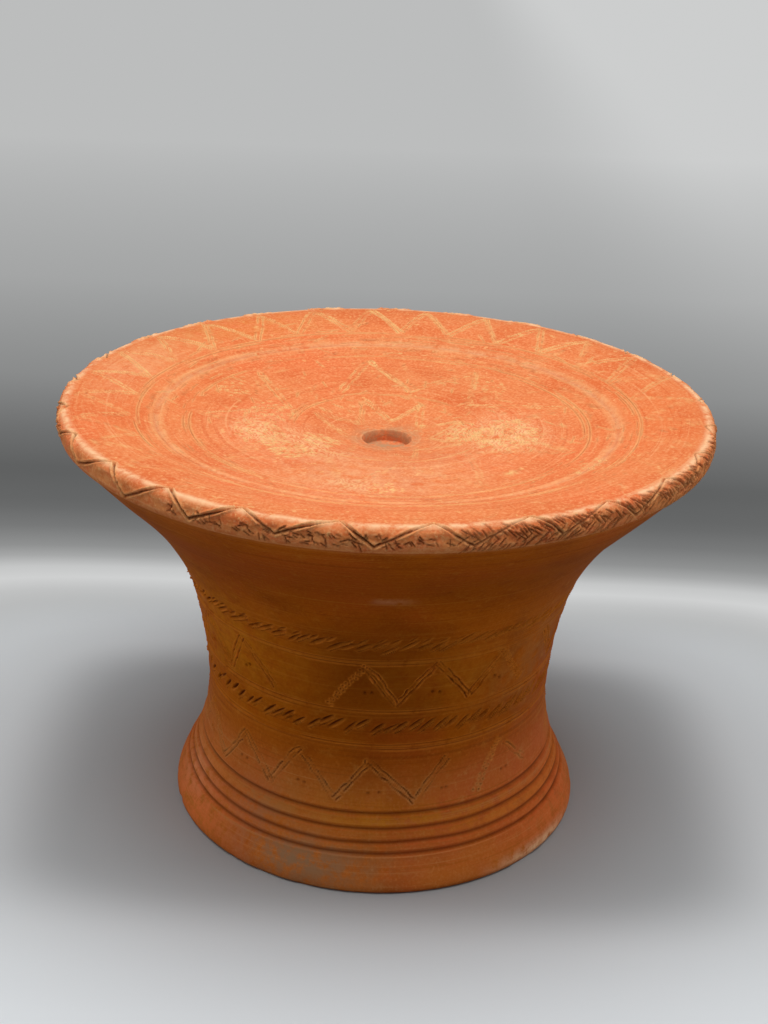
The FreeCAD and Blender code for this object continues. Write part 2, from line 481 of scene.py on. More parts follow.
@dataclass
class Relief:
    """What the tools did at each point.

    Attributes:
        cut: How deep they went.
        burr: How far the clay beside a cut stands up.
        dark: Painted shade down in a cut, 0 to 1.
        lime: How much pale dust stays, 0 to 1.
    """

    cut: np.ndarray
    burr: np.ndarray
    dark: np.ndarray
    lime: np.ndarray

    @classmethod
    def flat(cls, count: int) -> "Relief":
        """Return an unmarked surface of a number of points."""
        return cls(np.zeros(count), np.zeros(count), np.zeros(count), np.zeros(count))

    def add(self, index: np.ndarray, cut: np.ndarray, burr: np.ndarray, dark: np.ndarray,
            lime: np.ndarray) -> None:
        """Lay one mark over what is there, keeping the stronger of the two at each point."""
        for kept, new in ((self.cut, cut), (self.burr, burr), (self.dark, dark), (self.lime, lime)):
            kept[index] = np.maximum(kept[index], new)

    def height(self) -> np.ndarray:
        """Return how far each point moves out of the clay."""
        return self.burr * (1.0 - np.clip(self.cut / 0.35, 0.0, 1.0)) - self.cut


class Reach(NamedTuple):
    """The points that one stroke can touch."""

    stroke: "Stroke"
    index: np.ndarray
    distance: np.ndarray
    share: np.ndarray
    side: np.ndarray


@dataclass
class Surface:
    """Points on the outer skin: their angle, distance along the skin, radius and place."""

    turn: np.ndarray
    along: np.ndarray
    radius: np.ndarray
    points: np.ndarray

    def __post_init__(self) -> None:
        """Sort the points by angle, so that a stroke finds those beside it quickly."""
        self.order = np.argsort(self.turn)
        self.sorted_turn = self.turn[self.order]

    @property
    def count(self) -> int:
        """Number of points."""
        return len(self.turn)

    def between(self, low: float, high: float) -> np.ndarray:
        """Return the indexes of the points whose angle lies from low to high, round the turn.

        Args:
            low: Lowest angle.
            high: Highest angle.

        Returns:
            The indexes.
        """
        found = []
        for shift in (-TURN, 0.0, TURN):
            first, last = np.searchsorted(self.sorted_turn, [low + shift, high + shift])
            found.append(self.order[first:last])
        return np.concatenate(found)


LEAST_DEPTH = 0.24


@dataclass
class Ornament:
    """Every mark on the outside of the drum."""

    skin: Meridian
    strokes: list[Stroke] = field(default_factory=list)
    lines: list[TurnedLine] = field(default_factory=list)

    def _reaches(self, surface: Surface, reach: float) -> Iterator[Reach]:
        """Walk the strokes, each with the points that it can touch.

        Args:
            surface: The points.
            reach: How far from a stroke's edge points still count.

        Yields:
            The points near each stroke, and where they lie from its middle line.
        """
        if not surface.count:
            return
        lowest, highest = surface.along.min() - reach, surface.along.max() + reach
        for stroke in self.strokes:
            (turn_a, along_a), (turn_b, along_b) = stroke.start, stroke.end
            if max(along_a, along_b) < lowest or min(along_a, along_b) > highest:
                continue
            sweep = float(wrapped(np.array(turn_b - turn_a)))
            span = stroke.width / 2 + reach
            radius = float(self.skin.place(np.array([along_a, along_b]))[0].min())
            pad = min(span / max(radius - span, 4.0), 1.0)
            index = surface.between(min(turn_a, turn_a + sweep) - pad, max(turn_a, turn_a + sweep) + pad)
            along = surface.along[index]
            index = index[(along > min(along_a, along_b) - span) & (along < max(along_a, along_b) + span)]
            if not len(index):
                continue
            local = surface.radius[index]
            across = wrapped(surface.turn[index] - turn_a) * local
            up = surface.along[index] - along_a
            run, rise = sweep * local, along_b - along_a
            share = np.clip((across * run + up * rise) / np.maximum(run**2 + rise**2, 1e-9), 0.0, 1.0)
            distance = np.hypot(across - share * run, up - share * rise)
            yield Reach(stroke, index, distance, share, np.sign(run * up - rise * across))

    def near(self, surface: Surface, reach: float) -> np.ndarray:
        """Tell which points lie close to a stroke that is more than a light scratch.

        Args:
            surface: The points.
            reach: How far from a stroke's edge is still close.

        Returns:
            True for each point that is close.
        """
        close = np.zeros(surface.count, bool)
        for found in self._reaches(surface, reach):
            if found.stroke.depth > LEAST_DEPTH:
                close[found.index] |= found.distance < found.stroke.width / 2 + reach
        return close

    def press(self, surface: Surface) -> Relief:
        """Work out what all the tools did.

        Args:
            surface: The points to mark.

        Returns:
            The relief at each point.
        """
        relief = Relief.flat(surface.count)
        pressure = 1.0 + 0.35 * Lumps(9.0, 71).at(surface.points)
        for found in self._reaches(surface, 3.5):
            stroke, index, distance = found.stroke, found.index, found.distance
            half = stroke.width / 2
            if stroke.tool is Tool.ROPE:
                belly = np.sqrt(np.sin(math.pi * (0.06 + 0.88 * found.share)))
                reach = np.maximum(half * belly, 0.2)
                cut = stroke.depth * belly * np.clip(1.0 - (distance / reach) ** 2, 0.0, 1.0)
                ledge = np.exp(-(((distance - reach * 1.15) / (half * 0.55)) ** 2))
                below = np.where(found.side < 0, 1.0, 0.2)
                burr = stroke.burr * belly * ledge * below
                aside = distance * found.side
                # Painted shade on the upper side of the dent; the pale dust on the ledge below is also a
                # painted highlight.
                dark = belly * np.exp(-(((aside - reach * 0.25) / (reach * 0.55)) ** 2))
                lime = stroke.lime * belly * ledge * below
            else:
                ends = np.minimum(found.share, 1.0 - found.share)
                taper = 1.0 if stroke.tool is Tool.PRICK else 0.55 + 0.45 * fade(ends, 0.0, 0.15)
                cut = stroke.depth * taper * np.exp(-((distance / (half * 0.78)) ** 2))
                burr = stroke.burr * taper * np.exp(-(((distance - half * 1.45) / (half * 0.62)) ** 2))
                # Painted shade down the middle of the cut.
                dark = taper * np.exp(-((distance / (half * 0.65)) ** 2))
                lime = stroke.lime * taper * np.exp(-(((distance - half * 1.25) / (half * 0.75)) ** 2))
            firm = pressure[index]
            relief.add(index, cut * firm, burr * firm, np.clip(dark * stroke.depth / 0.75, 0.0, 1.0), lime)
        for line in self.lines:
            self._turn_line(line, surface, relief)
        return relief

    @staticmethod
    def _turn_line(line: TurnedLine, surface: Surface, relief: Relief) -> None:
        """Add one turned line to the relief.

        Args:
            line: The line.
            surface: The points to mark.
            relief: What the tools did so far; changed in place.
        """
        index = np.flatnonzero(np.abs(surface.along - line.along) < line.width * 2.2 + line.wander)
        if not len(index):
            return
        spot = surface.points[index]
        middle = line.along + line.wander * Lumps(38.0, 200 + line.seed).at(spot)
        strength = 1.0 - line.broken * fade(Lumps(30.0, 300 + line.seed).at(spot), -0.15, 0.25)
        half = line.width / 2
        distance = np.abs(surface.along[index] - middle)
        cut = line.depth * strength * np.exp(-((distance / (half * 0.8)) ** 2))
        burr = line.burr * strength * np.exp(-(((distance - half * 1.6) / (half * 0.7)) ** 2))
        lime = line.lime * strength * np.exp(-(((distance - half * 1.2) / (half * 0.8)) ** 2))
        # Painted shade down the middle of the line.
        dark = line.dark * strength * np.exp(-((distance / (half * 0.6)) ** 2))
        relief.add(index, cut, burr, dark, lime)


# ---------------------------------------------------------------------------------------
# Patterns, drawn by an unsteady hand
# ---------------------------------------------------------------------------------------


@dataclass(frozen=True)
class Scriber:
    """A pointed tool, and how hard it was leant on."""

    width: float = 1.2
    depth: float = 0.55
    burr: float = 0.25
    lime: float = 0.0


@dataclass(frozen=True)
class Zigzag:
    """A row of pointed teeth round the drum, in single or double lines.

    Attributes:
        teeth: How many there are in a full turn.
        valley: Distance along the skin of the foot of each tooth.
        peak: Distance along the skin of its point.
        first: Angle of one point, in degrees.
        scriber: The tool.
        rise: Share of a tooth that its first leg takes.
        spacing: Distance between the two lines; 0 draws one.
        unsteady: How far the hand strays, in millimetres.
        missing: Share of legs that are too worn to see.
        pricked: Share of legs made of dots instead of a line.
        dots: How many dots stand inside each tooth.
        faint: Angle in degrees round which the row is most worn.
        wear: How much is lost there, 0 to 1.
        seed: Number that the hand's unevenness starts from.
        rough: How unevenly the tool bit along a leg, 0 to 1.
    """

    teeth: int
    valley: float
    peak: float
    first: float
    scriber: Scriber
    rise: float = 0.5
    spacing: float = 2.2
    unsteady: float = 0.8
    missing: float = 0.0
    pricked: float = 0.0
    dots: int = 0
    faint: float = 0.0
    wear: float = 0.0
    seed: int = 0
    rough: float = 0.6

    def strokes(self, skin: Meridian) -> list[Stroke]:
        """Draw the row.

        Args:
            skin: The outer skin.

        Returns:
            The strokes.
        """
        rng = np.random.default_rng(self.seed)
        pitch = TURN / self.teeth

        def stray() -> float:
            """Return how far the hand misses, in millimetres."""
            return float(rng.normal(0.0, self.unsteady * 0.5))

        peaks = [math.radians(self.first) + pitch * i for i in range(self.teeth)]
        radius = float(skin.place(np.array([(self.peak + self.valley) / 2]))[0][0])
        points = []
        for turn in peaks:
            points.append((turn - pitch * self.rise + stray() / radius * 1.6, self.valley + stray()))
            points.append((turn + stray() / radius * 1.6, self.peak + stray()))
        made = []
        for i, start in enumerate(points):
            end = points[(i + 1) % len(points)]
            worn = self.wear * 0.5 * (1.0 + math.cos(start[0] - math.radians(self.faint)))
            strength = (1.0 - worn) * float(rng.uniform(0.7, 1.15))
            if rng.random() < self.missing:
                continue
            made += self._leg(skin, rng, start, end, strength, rng.random() < self.pricked)
            if self.dots and i % 2 == 0:
                made += self._dots(skin, rng, peaks[i // 2], strength)
        return made

    def _leg(self, skin: Meridian, rng: np.random.Generator, start: Point, end: Point,
             strength: float, pricked: bool) -> list[Stroke]:
        """Draw one leg of a tooth.

        Args:
            skin: The outer skin.
            rng: The hand's unevenness.
            start: Where the leg starts.
            end: Where it ends.
            strength: How hard the tool was leant on, about 1.
            pricked: Whether the leg is a row of dots.

        Returns:
            The strokes.
        """
        radii = skin.place(np.array([start[1], end[1]]))[0]
        sweep = float(wrapped(np.array(end[0] - start[0])))
        length = math.hypot(sweep * float(radii.mean()), end[1] - start[1])
        made = []
        offsets = (0.0,) if self.spacing == 0.0 else (-self.spacing / 2, self.spacing / 2)
        for offset in offsets:
            aside, bow = offset + float(rng.normal(0.0, 0.18)), float(rng.normal(0.0, 0.35))
            cuts = max(2, round(length / 2.6)) if pricked else max(3, round(length / 3.2))
            line = skin.path(start, end, cuts, aside, bow)
            radius, shake = float(radii.mean()), 0.28 * self.rough
            line = [(turn + float(rng.normal(0.0, shake)) / radius, along + float(rng.normal(0.0, shake)))
                    for turn, along in line]
            tool = self.scriber
            if pricked:
                made += [Stroke(at, at, tool.width * 1.05, tool.depth * strength, tool.burr * strength,
                                tool.lime * strength, Tool.PRICK) for at in line]
                continue
            for a, b in zip(line, line[1:]):
                grip = strength * float(rng.uniform(1.0 - 0.9 * self.rough, 1.0 + 0.35 * self.rough))
                made.append(Stroke(a, b, tool.width * (0.7 + 0.3 * min(grip, 1.0)), tool.depth * grip,
                                   tool.burr * grip, tool.lime * grip))
        return made

    def _dots(self, skin: Meridian, rng: np.random.Generator, turn: float, strength: float) -> list[Stroke]:
        """Prick dots side by side under a tooth's point.

        Args:
            skin: The outer skin.
            rng: The hand's unsteadiness.
            turn: Angle of the point.
            strength: How firmly the dots are pricked.

        Returns:
            One stroke for each dot.
        """
        along = self.valley + (self.peak - self.valley) * 0.28
        radius = float(skin.place(np.array([along]))[0][0])
        made = []
        for i in range(self.dots):
            aside = (i - (self.dots - 1) / 2) * 3.4 + float(rng.normal(0.0, 0.5))
            spot = (turn + aside / radius, along + float(rng.normal(0.0, 0.8)))
            made.append(Stroke(spot, spot, 1.7, 0.7 * strength, 0.25 * strength, 0.0, Tool.PRICK))
        return made


@dataclass(frozen=True)
class RopeBand:
    """A band of slanting dents that looks like a twisted rope.

    Attributes:
        count: How many dents there are in a full turn.
        low: Distance along the skin of the band's lower edge.
        high: Distance along the skin of its upper edge.
        slant: Angle of a dent above the level, in degrees.
        length: Length of a dent.
        width: Width of a dent.
        depth: Depth of a dent where the hand leant hardest.
        deep_side: Angle in degrees at which it leant hardest.
        ease: Share of the depth lost on the other side.
        seed: Number that the hand's unevenness starts from.
    """

    count: int
    low: float
    high: float
    slant: float
    length: float
    width: float
    depth: float
    deep_side: float
    ease: float
    seed: int

    def strokes(self, skin: Meridian) -> list[Stroke]:
        """Press the band.

        Args:
            skin: The outer skin.

        Returns:
            The strokes.
        """
        rng = np.random.default_rng(self.seed)
        middle = (self.low + self.high) / 2
        radius = float(skin.place(np.array([middle]))[0][0])
        slack = (self.high - self.low) / 2
        made = []
        for i in range(self.count):
            turn = TURN * (i + float(rng.normal(0.0, 0.10))) / self.count - math.pi
            eased = 0.5 * (1.0 - math.cos(turn - math.radians(self.deep_side)))
            depth = self.depth * (1.0 - self.ease * eased) * float(rng.uniform(0.65, 1.2))
            slant = math.radians(self.slant + float(rng.normal(0.0, 5.0)))
            half = self.length / 2 * float(rng.uniform(0.8, 1.15))
            along = middle + float(np.clip(rng.normal(0.0, 0.5), -1.0, 1.0)) * slack * 0.5
            width = self.width * (1.0 - 0.35 * self.ease * eased) * float(rng.uniform(0.8, 1.15))
            across, up = half * math.cos(slant) / radius, half * math.sin(slant)
            made.append(Stroke((turn - across, along - up), (turn + across, along + up), width, depth,
                               depth * 0.8, 0.95 * depth / self.depth, Tool.ROPE))
            if rng.random() < 0.8:
                drop = width * 0.9 + float(rng.uniform(0.0, 0.6))
                made.append(Stroke((turn - across * 0.7, along - up * 0.7 - drop),
                                   (turn + across * 0.8, along + up * 0.8 - drop),
                                   width * 0.4, depth * 0.75, depth * 0.4, 0.45, Tool.SCRIBER))
        return made


@dataclass(frozen=True)
class Patch:
    """A scatter of dots or short cuts over part of the skin.

    Attributes:
        turn: Angle of its middle, in degrees.
        along: Distance along the skin of its middle.
        across: Half its width round the drum.
        up: Half its height along the skin.
        count: How many marks it has.
        length: Length of each mark; 0 pricks dots.
        slant: Angle of the marks above the level, in degrees.
        scatter: How far that angle strays.
        scriber: The tool.
        chevrons: Whether every other row slants the other way.
        seed: Number that the scatter starts from.
    """

    turn: float
    along: float
    across: float
    up: float
    count: int
    length: float
    slant: float
    scatter: float
    scriber: Scriber
    chevrons: bool = False
    seed: int = 0

    def strokes(self, skin: Meridian) -> list[Stroke]:
        """Make the marks.

        Args:
            skin: The outer skin.

        Returns:
            The strokes.
        """
        rng = np.random.default_rng(self.seed)
        radius = float(skin.place(np.array([self.along]))[0][0])
        made = []
        for i in range(self.count):
            size, angle = math.sqrt(rng.random()), TURN * rng.random()
            if self.chevrons:
                aside = self.across * float(rng.uniform(-1.0, 1.0))
                rise = self.up * float(rng.uniform(-1.0, 1.0))
            else:
                aside, rise = self.across * size * math.cos(angle), self.up * size * math.sin(angle)
            lean = self.slant * (-1.0 if self.chevrons and rise > 0 else 1.0)
            slant = math.radians(lean + self.scatter * float(rng.normal()))
            half = self.length / 2 * float(rng.uniform(0.6, 1.2))
            turn, along = math.radians(self.turn) + aside / radius, self.along + rise
            start = (turn - half * math.cos(slant) / radius, along - half * math.sin(slant))
            end = (turn + half * math.cos(slant) / radius, along + half * math.sin(slant))
            tool, strength = self.scriber, float(rng.uniform(0.6, 1.15))
            kind = Tool.PRICK if self.length == 0.0 else Tool.SCRIBER
            made.append(Stroke(start, end, tool.width, tool.depth * strength, tool.burr * strength,
                               tool.lime * strength, kind))
        return made


# ---------------------------------------------------------------------------------------
# Clay shapes
# ---------------------------------------------------------------------------------------


@dataclass(frozen=True)
class Spot:
    """One corner of a profile: its radius, height, distance along its skin, and side of the clay."""

    radius: float
    height: float
    along: float
    side: Side


def skin_spots(skin: Meridian, side: Side, start: float, end: float, spacing: float,
               fine_at: tuple[float, ...] = (), fine_reach: float = 2.6) -> list[Spot]:
    """Divide part of a skin into spots, closer together where lines are turned.

    Args:
        skin: The skin.
        side: Which side of the clay it is.
        start: Distance along it at which the part starts.
        end: Distance at which the part ends.
        spacing: Distance between spots elsewhere.
        fine_at: Distances along the skin of the turned lines.
        fine_reach: How far to either side of a line the spots are close together.

    Returns:
        The spots in order.
    """
    fine = 0.42
    places = [start]
    while places[-1] < end - 1e-6:
        here = places[-1]
        close = any(abs(here + fine - line) <= fine_reach for line in fine_at)
        step = fine if close else spacing
        if not close:
            for line in fine_at:
                if here < line - fine_reach < here + step:
                    step = max(line - fine_reach - here, fine)
        places.append(min(here + step, end))
    if len(places) > 2 and places[-1] - places[-2] < fine * 0.5:
        places.pop(-2)
    radii, heights = skin.place(np.array(places))
    return [Spot(float(r), float(z), a, side) for r, z, a in zip(radii, heights, places)]


def corner(radius: float, height: float) -> Spot:
    """Return a spot inside a joint."""
    return Spot(radius, height, 0.0, Side.SEAM)


@dataclass(frozen=True)
class Sway:
    """How far the whole drum is from true: wall, lip and head lean in and out together."""

    wall: float = 0.7
    lip: float = 0.6
    seed: int = 5

    def shift(self, points: np.ndarray) -> np.ndarray:
        """Return how far each point moves, in millimetres.

        Args:
            points: Places before the move, one row each.

        Returns:
            The moves, one row each.
        """
        radius = np.maximum(np.hypot(points[:, 0], points[:, 1]), 1e-6)
        turn = np.arctan2(points[:, 0], -points[:, 1])
        stand = fade(points[:, 2], 0.0, 14.0)
        away = fade(radius, 12.0, 70.0)
        out = self.wall * (Lumps(95.0, self.seed).at(points) + 0.5 * Lumps(38.0, self.seed + 1).at(points))
        out = (out + 0.4 * np.cos(2.0 * turn + 0.7)) * stand * away
        high = fade(points[:, 2], 150.0, 200.0)
        lift = self.lip * high * (Lumps(110.0, self.seed + 2).at(points) + 0.6 * np.cos(turn - 2.2) * away)
        ripple = 0.22 * Lumps(17.0, self.seed + 3).at(points) * stand
        move = np.zeros_like(points)
        move[:, 0] = points[:, 0] / radius * (out + ripple)
        move[:, 1] = points[:, 1] / radius * (out + ripple)
        move[:, 2] = lift + ripple * high * 0.8
        return move


@dataclass(frozen=True)
class Stain:
    """A patch of other colour on the skin.

    Attributes:
        turn: Angle of its middle, in degrees.
        along: Distance along the skin of its middle.
        across: Half its width round the drum.
        up: Half its height along the skin.
        strength: How strong it is in its middle.
    """

    turn: float
    along: float
    across: float
    up: float
    strength: float

    def at(self, surface: Surface) -> np.ndarray:
        """Return the strength of the stain at each point of a surface.

        Args:
            surface: The points.

        Returns:
            The strengths.
        """
        aside = wrapped(surface.turn - math.radians(self.turn)) * surface.radius / self.across
        rise = (surface.along - self.along) / self.up
        return self.strength * np.exp(-(aside**2 + rise**2))


@dataclass(frozen=True)
class Wear:
    """Chips, pits and stains that are spread over the drum, with painted shade and painted light among the
    stains.

    Attributes:
        stains: The patches of each colour, by the colour's name, painted shade and painted light among
            them.
        lip: Distance along the skin of the lip's worn edge.
        foot: Distance along the skin of the foot's worn edge.
    """

    stains: dict[str, tuple[Stain, ...]]
    lip: float
    foot: float

    def pits(self, surface: Surface) -> np.ndarray:
        """Return the depth of pits and of chips off the edges, at each point.

        Args:
            surface: The points.

        Returns:
            The depths, in millimetres.
        """
        grit = Lumps(2.6, 41).at(surface.points)
        patchy = fade(Lumps(22.0, 42).at(surface.points), -0.1, 0.5)
        small = 0.30 * fade(grit, 0.62, 0.85) * (0.35 + 0.65 * patchy)
        edge = np.exp(-(((surface.along - self.lip) / 3.0) ** 2))
        rough = 0.50 * Lumps(5.5, 43).at(surface.points) + 0.42 * Lumps(2.3, 44).at(surface.points)
        foot = np.exp(-(((surface.along - self.foot) / 3.5) ** 2))
        chips = fade(Lumps(7.0, 45).at(surface.points), 0.35, 0.6)
        return small + edge * np.maximum(rough, -0.3) + 0.5 * foot * chips * fade(surface.along, 1.0, 3.0)

    def coloured(self, surface: Surface, name: str) -> np.ndarray:
        """Return how strongly the stains of one colour show at each point.

        Args:
            surface: The points.
            name: The colour's name.

        Returns:
            The strengths.
        """
        total = np.zeros(surface.count)
        for stain in self.stains[name]:
            total = np.maximum(total, stain.at(surface))
        return total


@dataclass(frozen=True)
class Potter:
    """Everything that shapes the clay after it is turned."""

    outside: Meridian
    inside: Meridian
    ornament: Ornament
    sway: Sway
    wear: Wear
    body_top: float
    foot_top: float
    steps: int = 360

    def spin(self, spots: list[Spot]) -> bmesh.types.BMesh:
        """Turn a closed profile into a full ring.

        Args:
            spots: The profile's corners in order, once round.

        Returns:
            The ring in millimetres, each point with its distance along the skin and its side.
        """
        ring = bmesh.new()
        along_layer = ring.verts.layers.float.new("along")
        side_layer = ring.verts.layers.float.new("side")
        corners = []
        for spot in spots:
            vertex = ring.verts.new((0.0, -spot.radius, spot.height))
            vertex[along_layer] = spot.along
            vertex[side_layer] = float(spot.side.value)
            corners.append(vertex)
        edges = [ring.edges.new((a, b)) for a, b in zip(corners, corners[1:] + corners[:1])
                 if a.co.xy.length > 1e-6 or b.co.xy.length > 1e-6]
        bmesh.ops.spin(ring, geom=corners + edges, cent=(0.0, 0.0, 0.0), axis=(0.0, 0.0, 1.0),
                       angle=TURN, steps=self.steps, use_merge=True)
        poles = [vertex for vertex in ring.verts if vertex.co.xy.length < 1e-4]
        bmesh.ops.remove_doubles(ring, verts=poles, dist=1e-3)
        bmesh.ops.recalc_face_normals(ring, faces=ring.faces[:])
        return ring

    @staticmethod
    def _read(ring: bmesh.types.BMesh) -> tuple[np.ndarray, np.ndarray, np.ndarray]:
        """Return a ring's points, distances along the skin, and sides.

        Args:
            ring: The ring in millimetres.

        Returns:
            The points, the distances and the sides.
        """
        along_layer = ring.verts.layers.float["along"]
        side_layer = ring.verts.layers.float["side"]
        points = np.array([vertex.co[:] for vertex in ring.verts])
        along = np.array([vertex[along_layer] for vertex in ring.verts])
        side = np.array([vertex[side_layer] for vertex in ring.verts])
        return points, along, side

    def _surface(self, points: np.ndarray, along: np.ndarray) -> Surface:
        """Return points of the outer skin with their angles and radii."""
        turn = np.arctan2(points[:, 0], -points[:, 1])
        return Surface(turn, along, np.hypot(points[:, 0], points[:, 1]), points)

    def refine(self, ring: bmesh.types.BMesh, levels: tuple[Point, ...]) -> None:
        """Divide the faces close to strokes into smaller ones.

        Args:
            ring: The ring; changed in place.
            levels: For each round, how far from a stroke to divide, and the longest edge left whole.
        """
        for reach, longest in levels:
            ring.verts.index_update()
            points, along, side = self._read(ring)
            outer = np.flatnonzero(side == float(Side.OUTSIDE.value))
            close = np.zeros(len(points), bool)
            close[outer] = self.ornament.near(self._surface(points[outer], along[outer]), reach)
            outer_only = side == float(Side.OUTSIDE.value)
            chosen = []
            for edge in ring.edges:
                a, b = edge.verts[0].index, edge.verts[1].index
                if (close[a] or close[b]) and outer_only[a] and outer_only[b]:
                    if edge.calc_length() > longest:
                        chosen.append(edge)
            if chosen:
                bmesh.ops.subdivide_edges(ring, edges=chosen, cuts=1, use_grid_fill=True)
        many = [face for face in ring.faces if len(face.verts) > 4]
        bmesh.ops.triangulate(ring, faces=many)

    def shape(self, ring: bmesh.types.BMesh, name: str, thumbs: float = 0.0) -> bpy.types.Object:
        """Press, cut and wear a ring, and make it an object in metres.

        Args:
            ring: The ring in millimetres; freed afterwards.
            name: The object's name.
            thumbs: Depth of the thumb marks on its inner side.

        Returns:
            The object, at the origin.
        """
        points, along, side = self._read(ring)
        outer = np.flatnonzero(side == float(Side.OUTSIDE.value))
        inner = np.flatnonzero(side == float(Side.INSIDE.value))
        marks = {key: np.zeros(len(points)) for key in ("cut", "burr", "lime", "raw", "clay", *STAINS)}
        placed = points.copy()
        if len(outer):
            turn = np.arctan2(points[outer, 0], -points[outer, 1])
            radius, height = self.outside.place(along[outer])
            out_r, out_z = self.outside.normal(along[outer])
            true = np.column_stack([radius * np.sin(turn), -radius * np.cos(turn), height])
            surface = Surface(turn, along[outer], radius, true)
            relief = self.ornament.press(surface)
            pits = self.wear.pits(surface)
            rise = relief.height() - pits
            placed[outer, 0] = (radius + out_r * rise) * np.sin(turn)
            placed[outer, 1] = -(radius + out_r * rise) * np.cos(turn)
            placed[outer, 2] = height + out_z * rise
            # The cut mark carries the painted shade down in the cuts.
            marks["cut"][outer] = np.clip(relief.dark, 0.0, 1.0)
            marks["burr"][outer] = np.clip(relief.burr / 0.3, 0.0, 1.0)
            marks["lime"][outer] = np.clip(relief.lime, 0.0, 1.0)
            for stain in STAINS:
                marks[stain][outer] = self.wear.coloured(surface, stain)
            marks["clay"][outer] = fade(along[outer], self.foot_top - 30.0, self.foot_top) + fade(
                along[outer], self.body_top - 3.0, self.body_top + 6.0)
        if len(inner):
            ring.normal_update()
            turn = np.arctan2(points[inner, 0], -points[inner, 1])
            radius = np.hypot(points[inner, 0], points[inner, 1])
            smear = 0.30 * np.sin(along[inner] / 1.9 + 1.5 * Lumps(40.0, 61).at(points[inner]))
            smear += 0.45 * Lumps(14.0, 62).at(points[inner])
            smear *= fade(radius, 16.0, 30.0) * fade(points[inner, 2], 4.0, 12.0) * 0.5
            smear += thumbs * np.sin(turn * 34.0 + 2.0 * Lumps(60.0, 63).at(points[inner]))
            normals = np.array([vertex.normal[:] for vertex in ring.verts])[inner]
            placed[inner] += normals * smear[:, None]
            marks["raw"][inner] = 1.0
            marks["clay"][inner] = 1.0
        marks["raw"][(side != 1.0) & (side != 2.0)] = 1.0
        placed += self.sway.shift(points)
        sharp_angle = math.radians(40.0)
        for face in ring.faces:
            face.smooth = all(vertex[ring.verts.layers.float["side"]] > 0.0 for vertex in face.verts)
        for edge in ring.edges:
            edge.smooth = not (edge.is_manifold and edge.calc_face_angle(0.0) > sharp_angle)
        mesh = bpy.data.meshes.new(name)
        ring.to_mesh(mesh)
        ring.free()
        mesh.vertices.foreach_set("co", (placed * MM).astype(np.float32).ravel())
        for key, values in marks.items():
            layer = mesh.attributes.new(key, "FLOAT", "POINT")
            layer.data.foreach_set("value", values.astype(np.float32))
        mesh.update()
        piece = bpy.data.objects.new(name, mesh)
        bpy.context.scene.collection.objects.link(piece)
        LOG.info("%s: %d points, %d faces", name, len(mesh.vertices), len(mesh.polygons))
        return piece


# ---------------------------------------------------------------------------------------
# Finishes
# ---------------------------------------------------------------------------------------


@dataclass(frozen=True)
class Palette:
    """Colours of one part of the clay.

    Attributes:
        ground: The usual colour.
        deep: Where it fired darker.
        pale: Where it is dusty or rubbed.
        blush: Where it fired redder.
        cut: Painted shade down in the cuts.
        lime: Dust on the edges of the cuts.
    """

    ground: Colour
    deep: Colour
    pale: Colour
    blush: Colour
    cut: Colour
    lime: Colour


FOOT_CLAY = Palette(srgb(212, 116, 42), srgb(188, 96, 26), srgb(220, 150, 86), srgb(216, 102, 50),
                    srgb(104, 42, 8), srgb(236, 158, 84))
BODY_CLAY = Palette(srgb(194, 97, 6), srgb(160, 72, 4), srgb(214, 130, 44), srgb(200, 90, 22),
                    srgb(70, 20, 0), srgb(240, 140, 46))
HEAD_CLAY = Palette(srgb(243, 140, 84), srgb(228, 108, 56), srgb(253, 182, 126), srgb(246, 128, 76),
                    srgb(96, 28, 4), srgb(255, 206, 136))
RAW_CLAY = Palette(srgb(176, 104, 66), srgb(150, 82, 50), srgb(192, 130, 92), srgb(180, 96, 62),
                   srgb(120, 62, 34), srgb(210, 156, 112))
STREAKS_ACROSS = 620.0
STREAKS_ROUND = 9.0
RIPPLE_SCALE = 120.0
RIPPLE_CURL = 26.0
PATCHY = frozenset({"ochre", "rust", "soil", "pale_dust_and_painted_light", "combed"})
STAINS: dict[str, Colour] = {
    # Painted shade: darkens the bell under the lip, the front of the body and the foot's bottom edge.
    "painted_shade": srgb(106, 46, 0),
    "ochre": srgb(220, 138, 24),
    "rust": srgb(244, 122, 60),
    "soil": srgb(166, 126, 90),
    # Pale dust and chips, and also a painted highlight along the lip's top edge and painted light in the
    # socket.
    "pale_dust_and_painted_light": srgb(255, 202, 154),
    "combed": srgb(255, 206, 150),
}


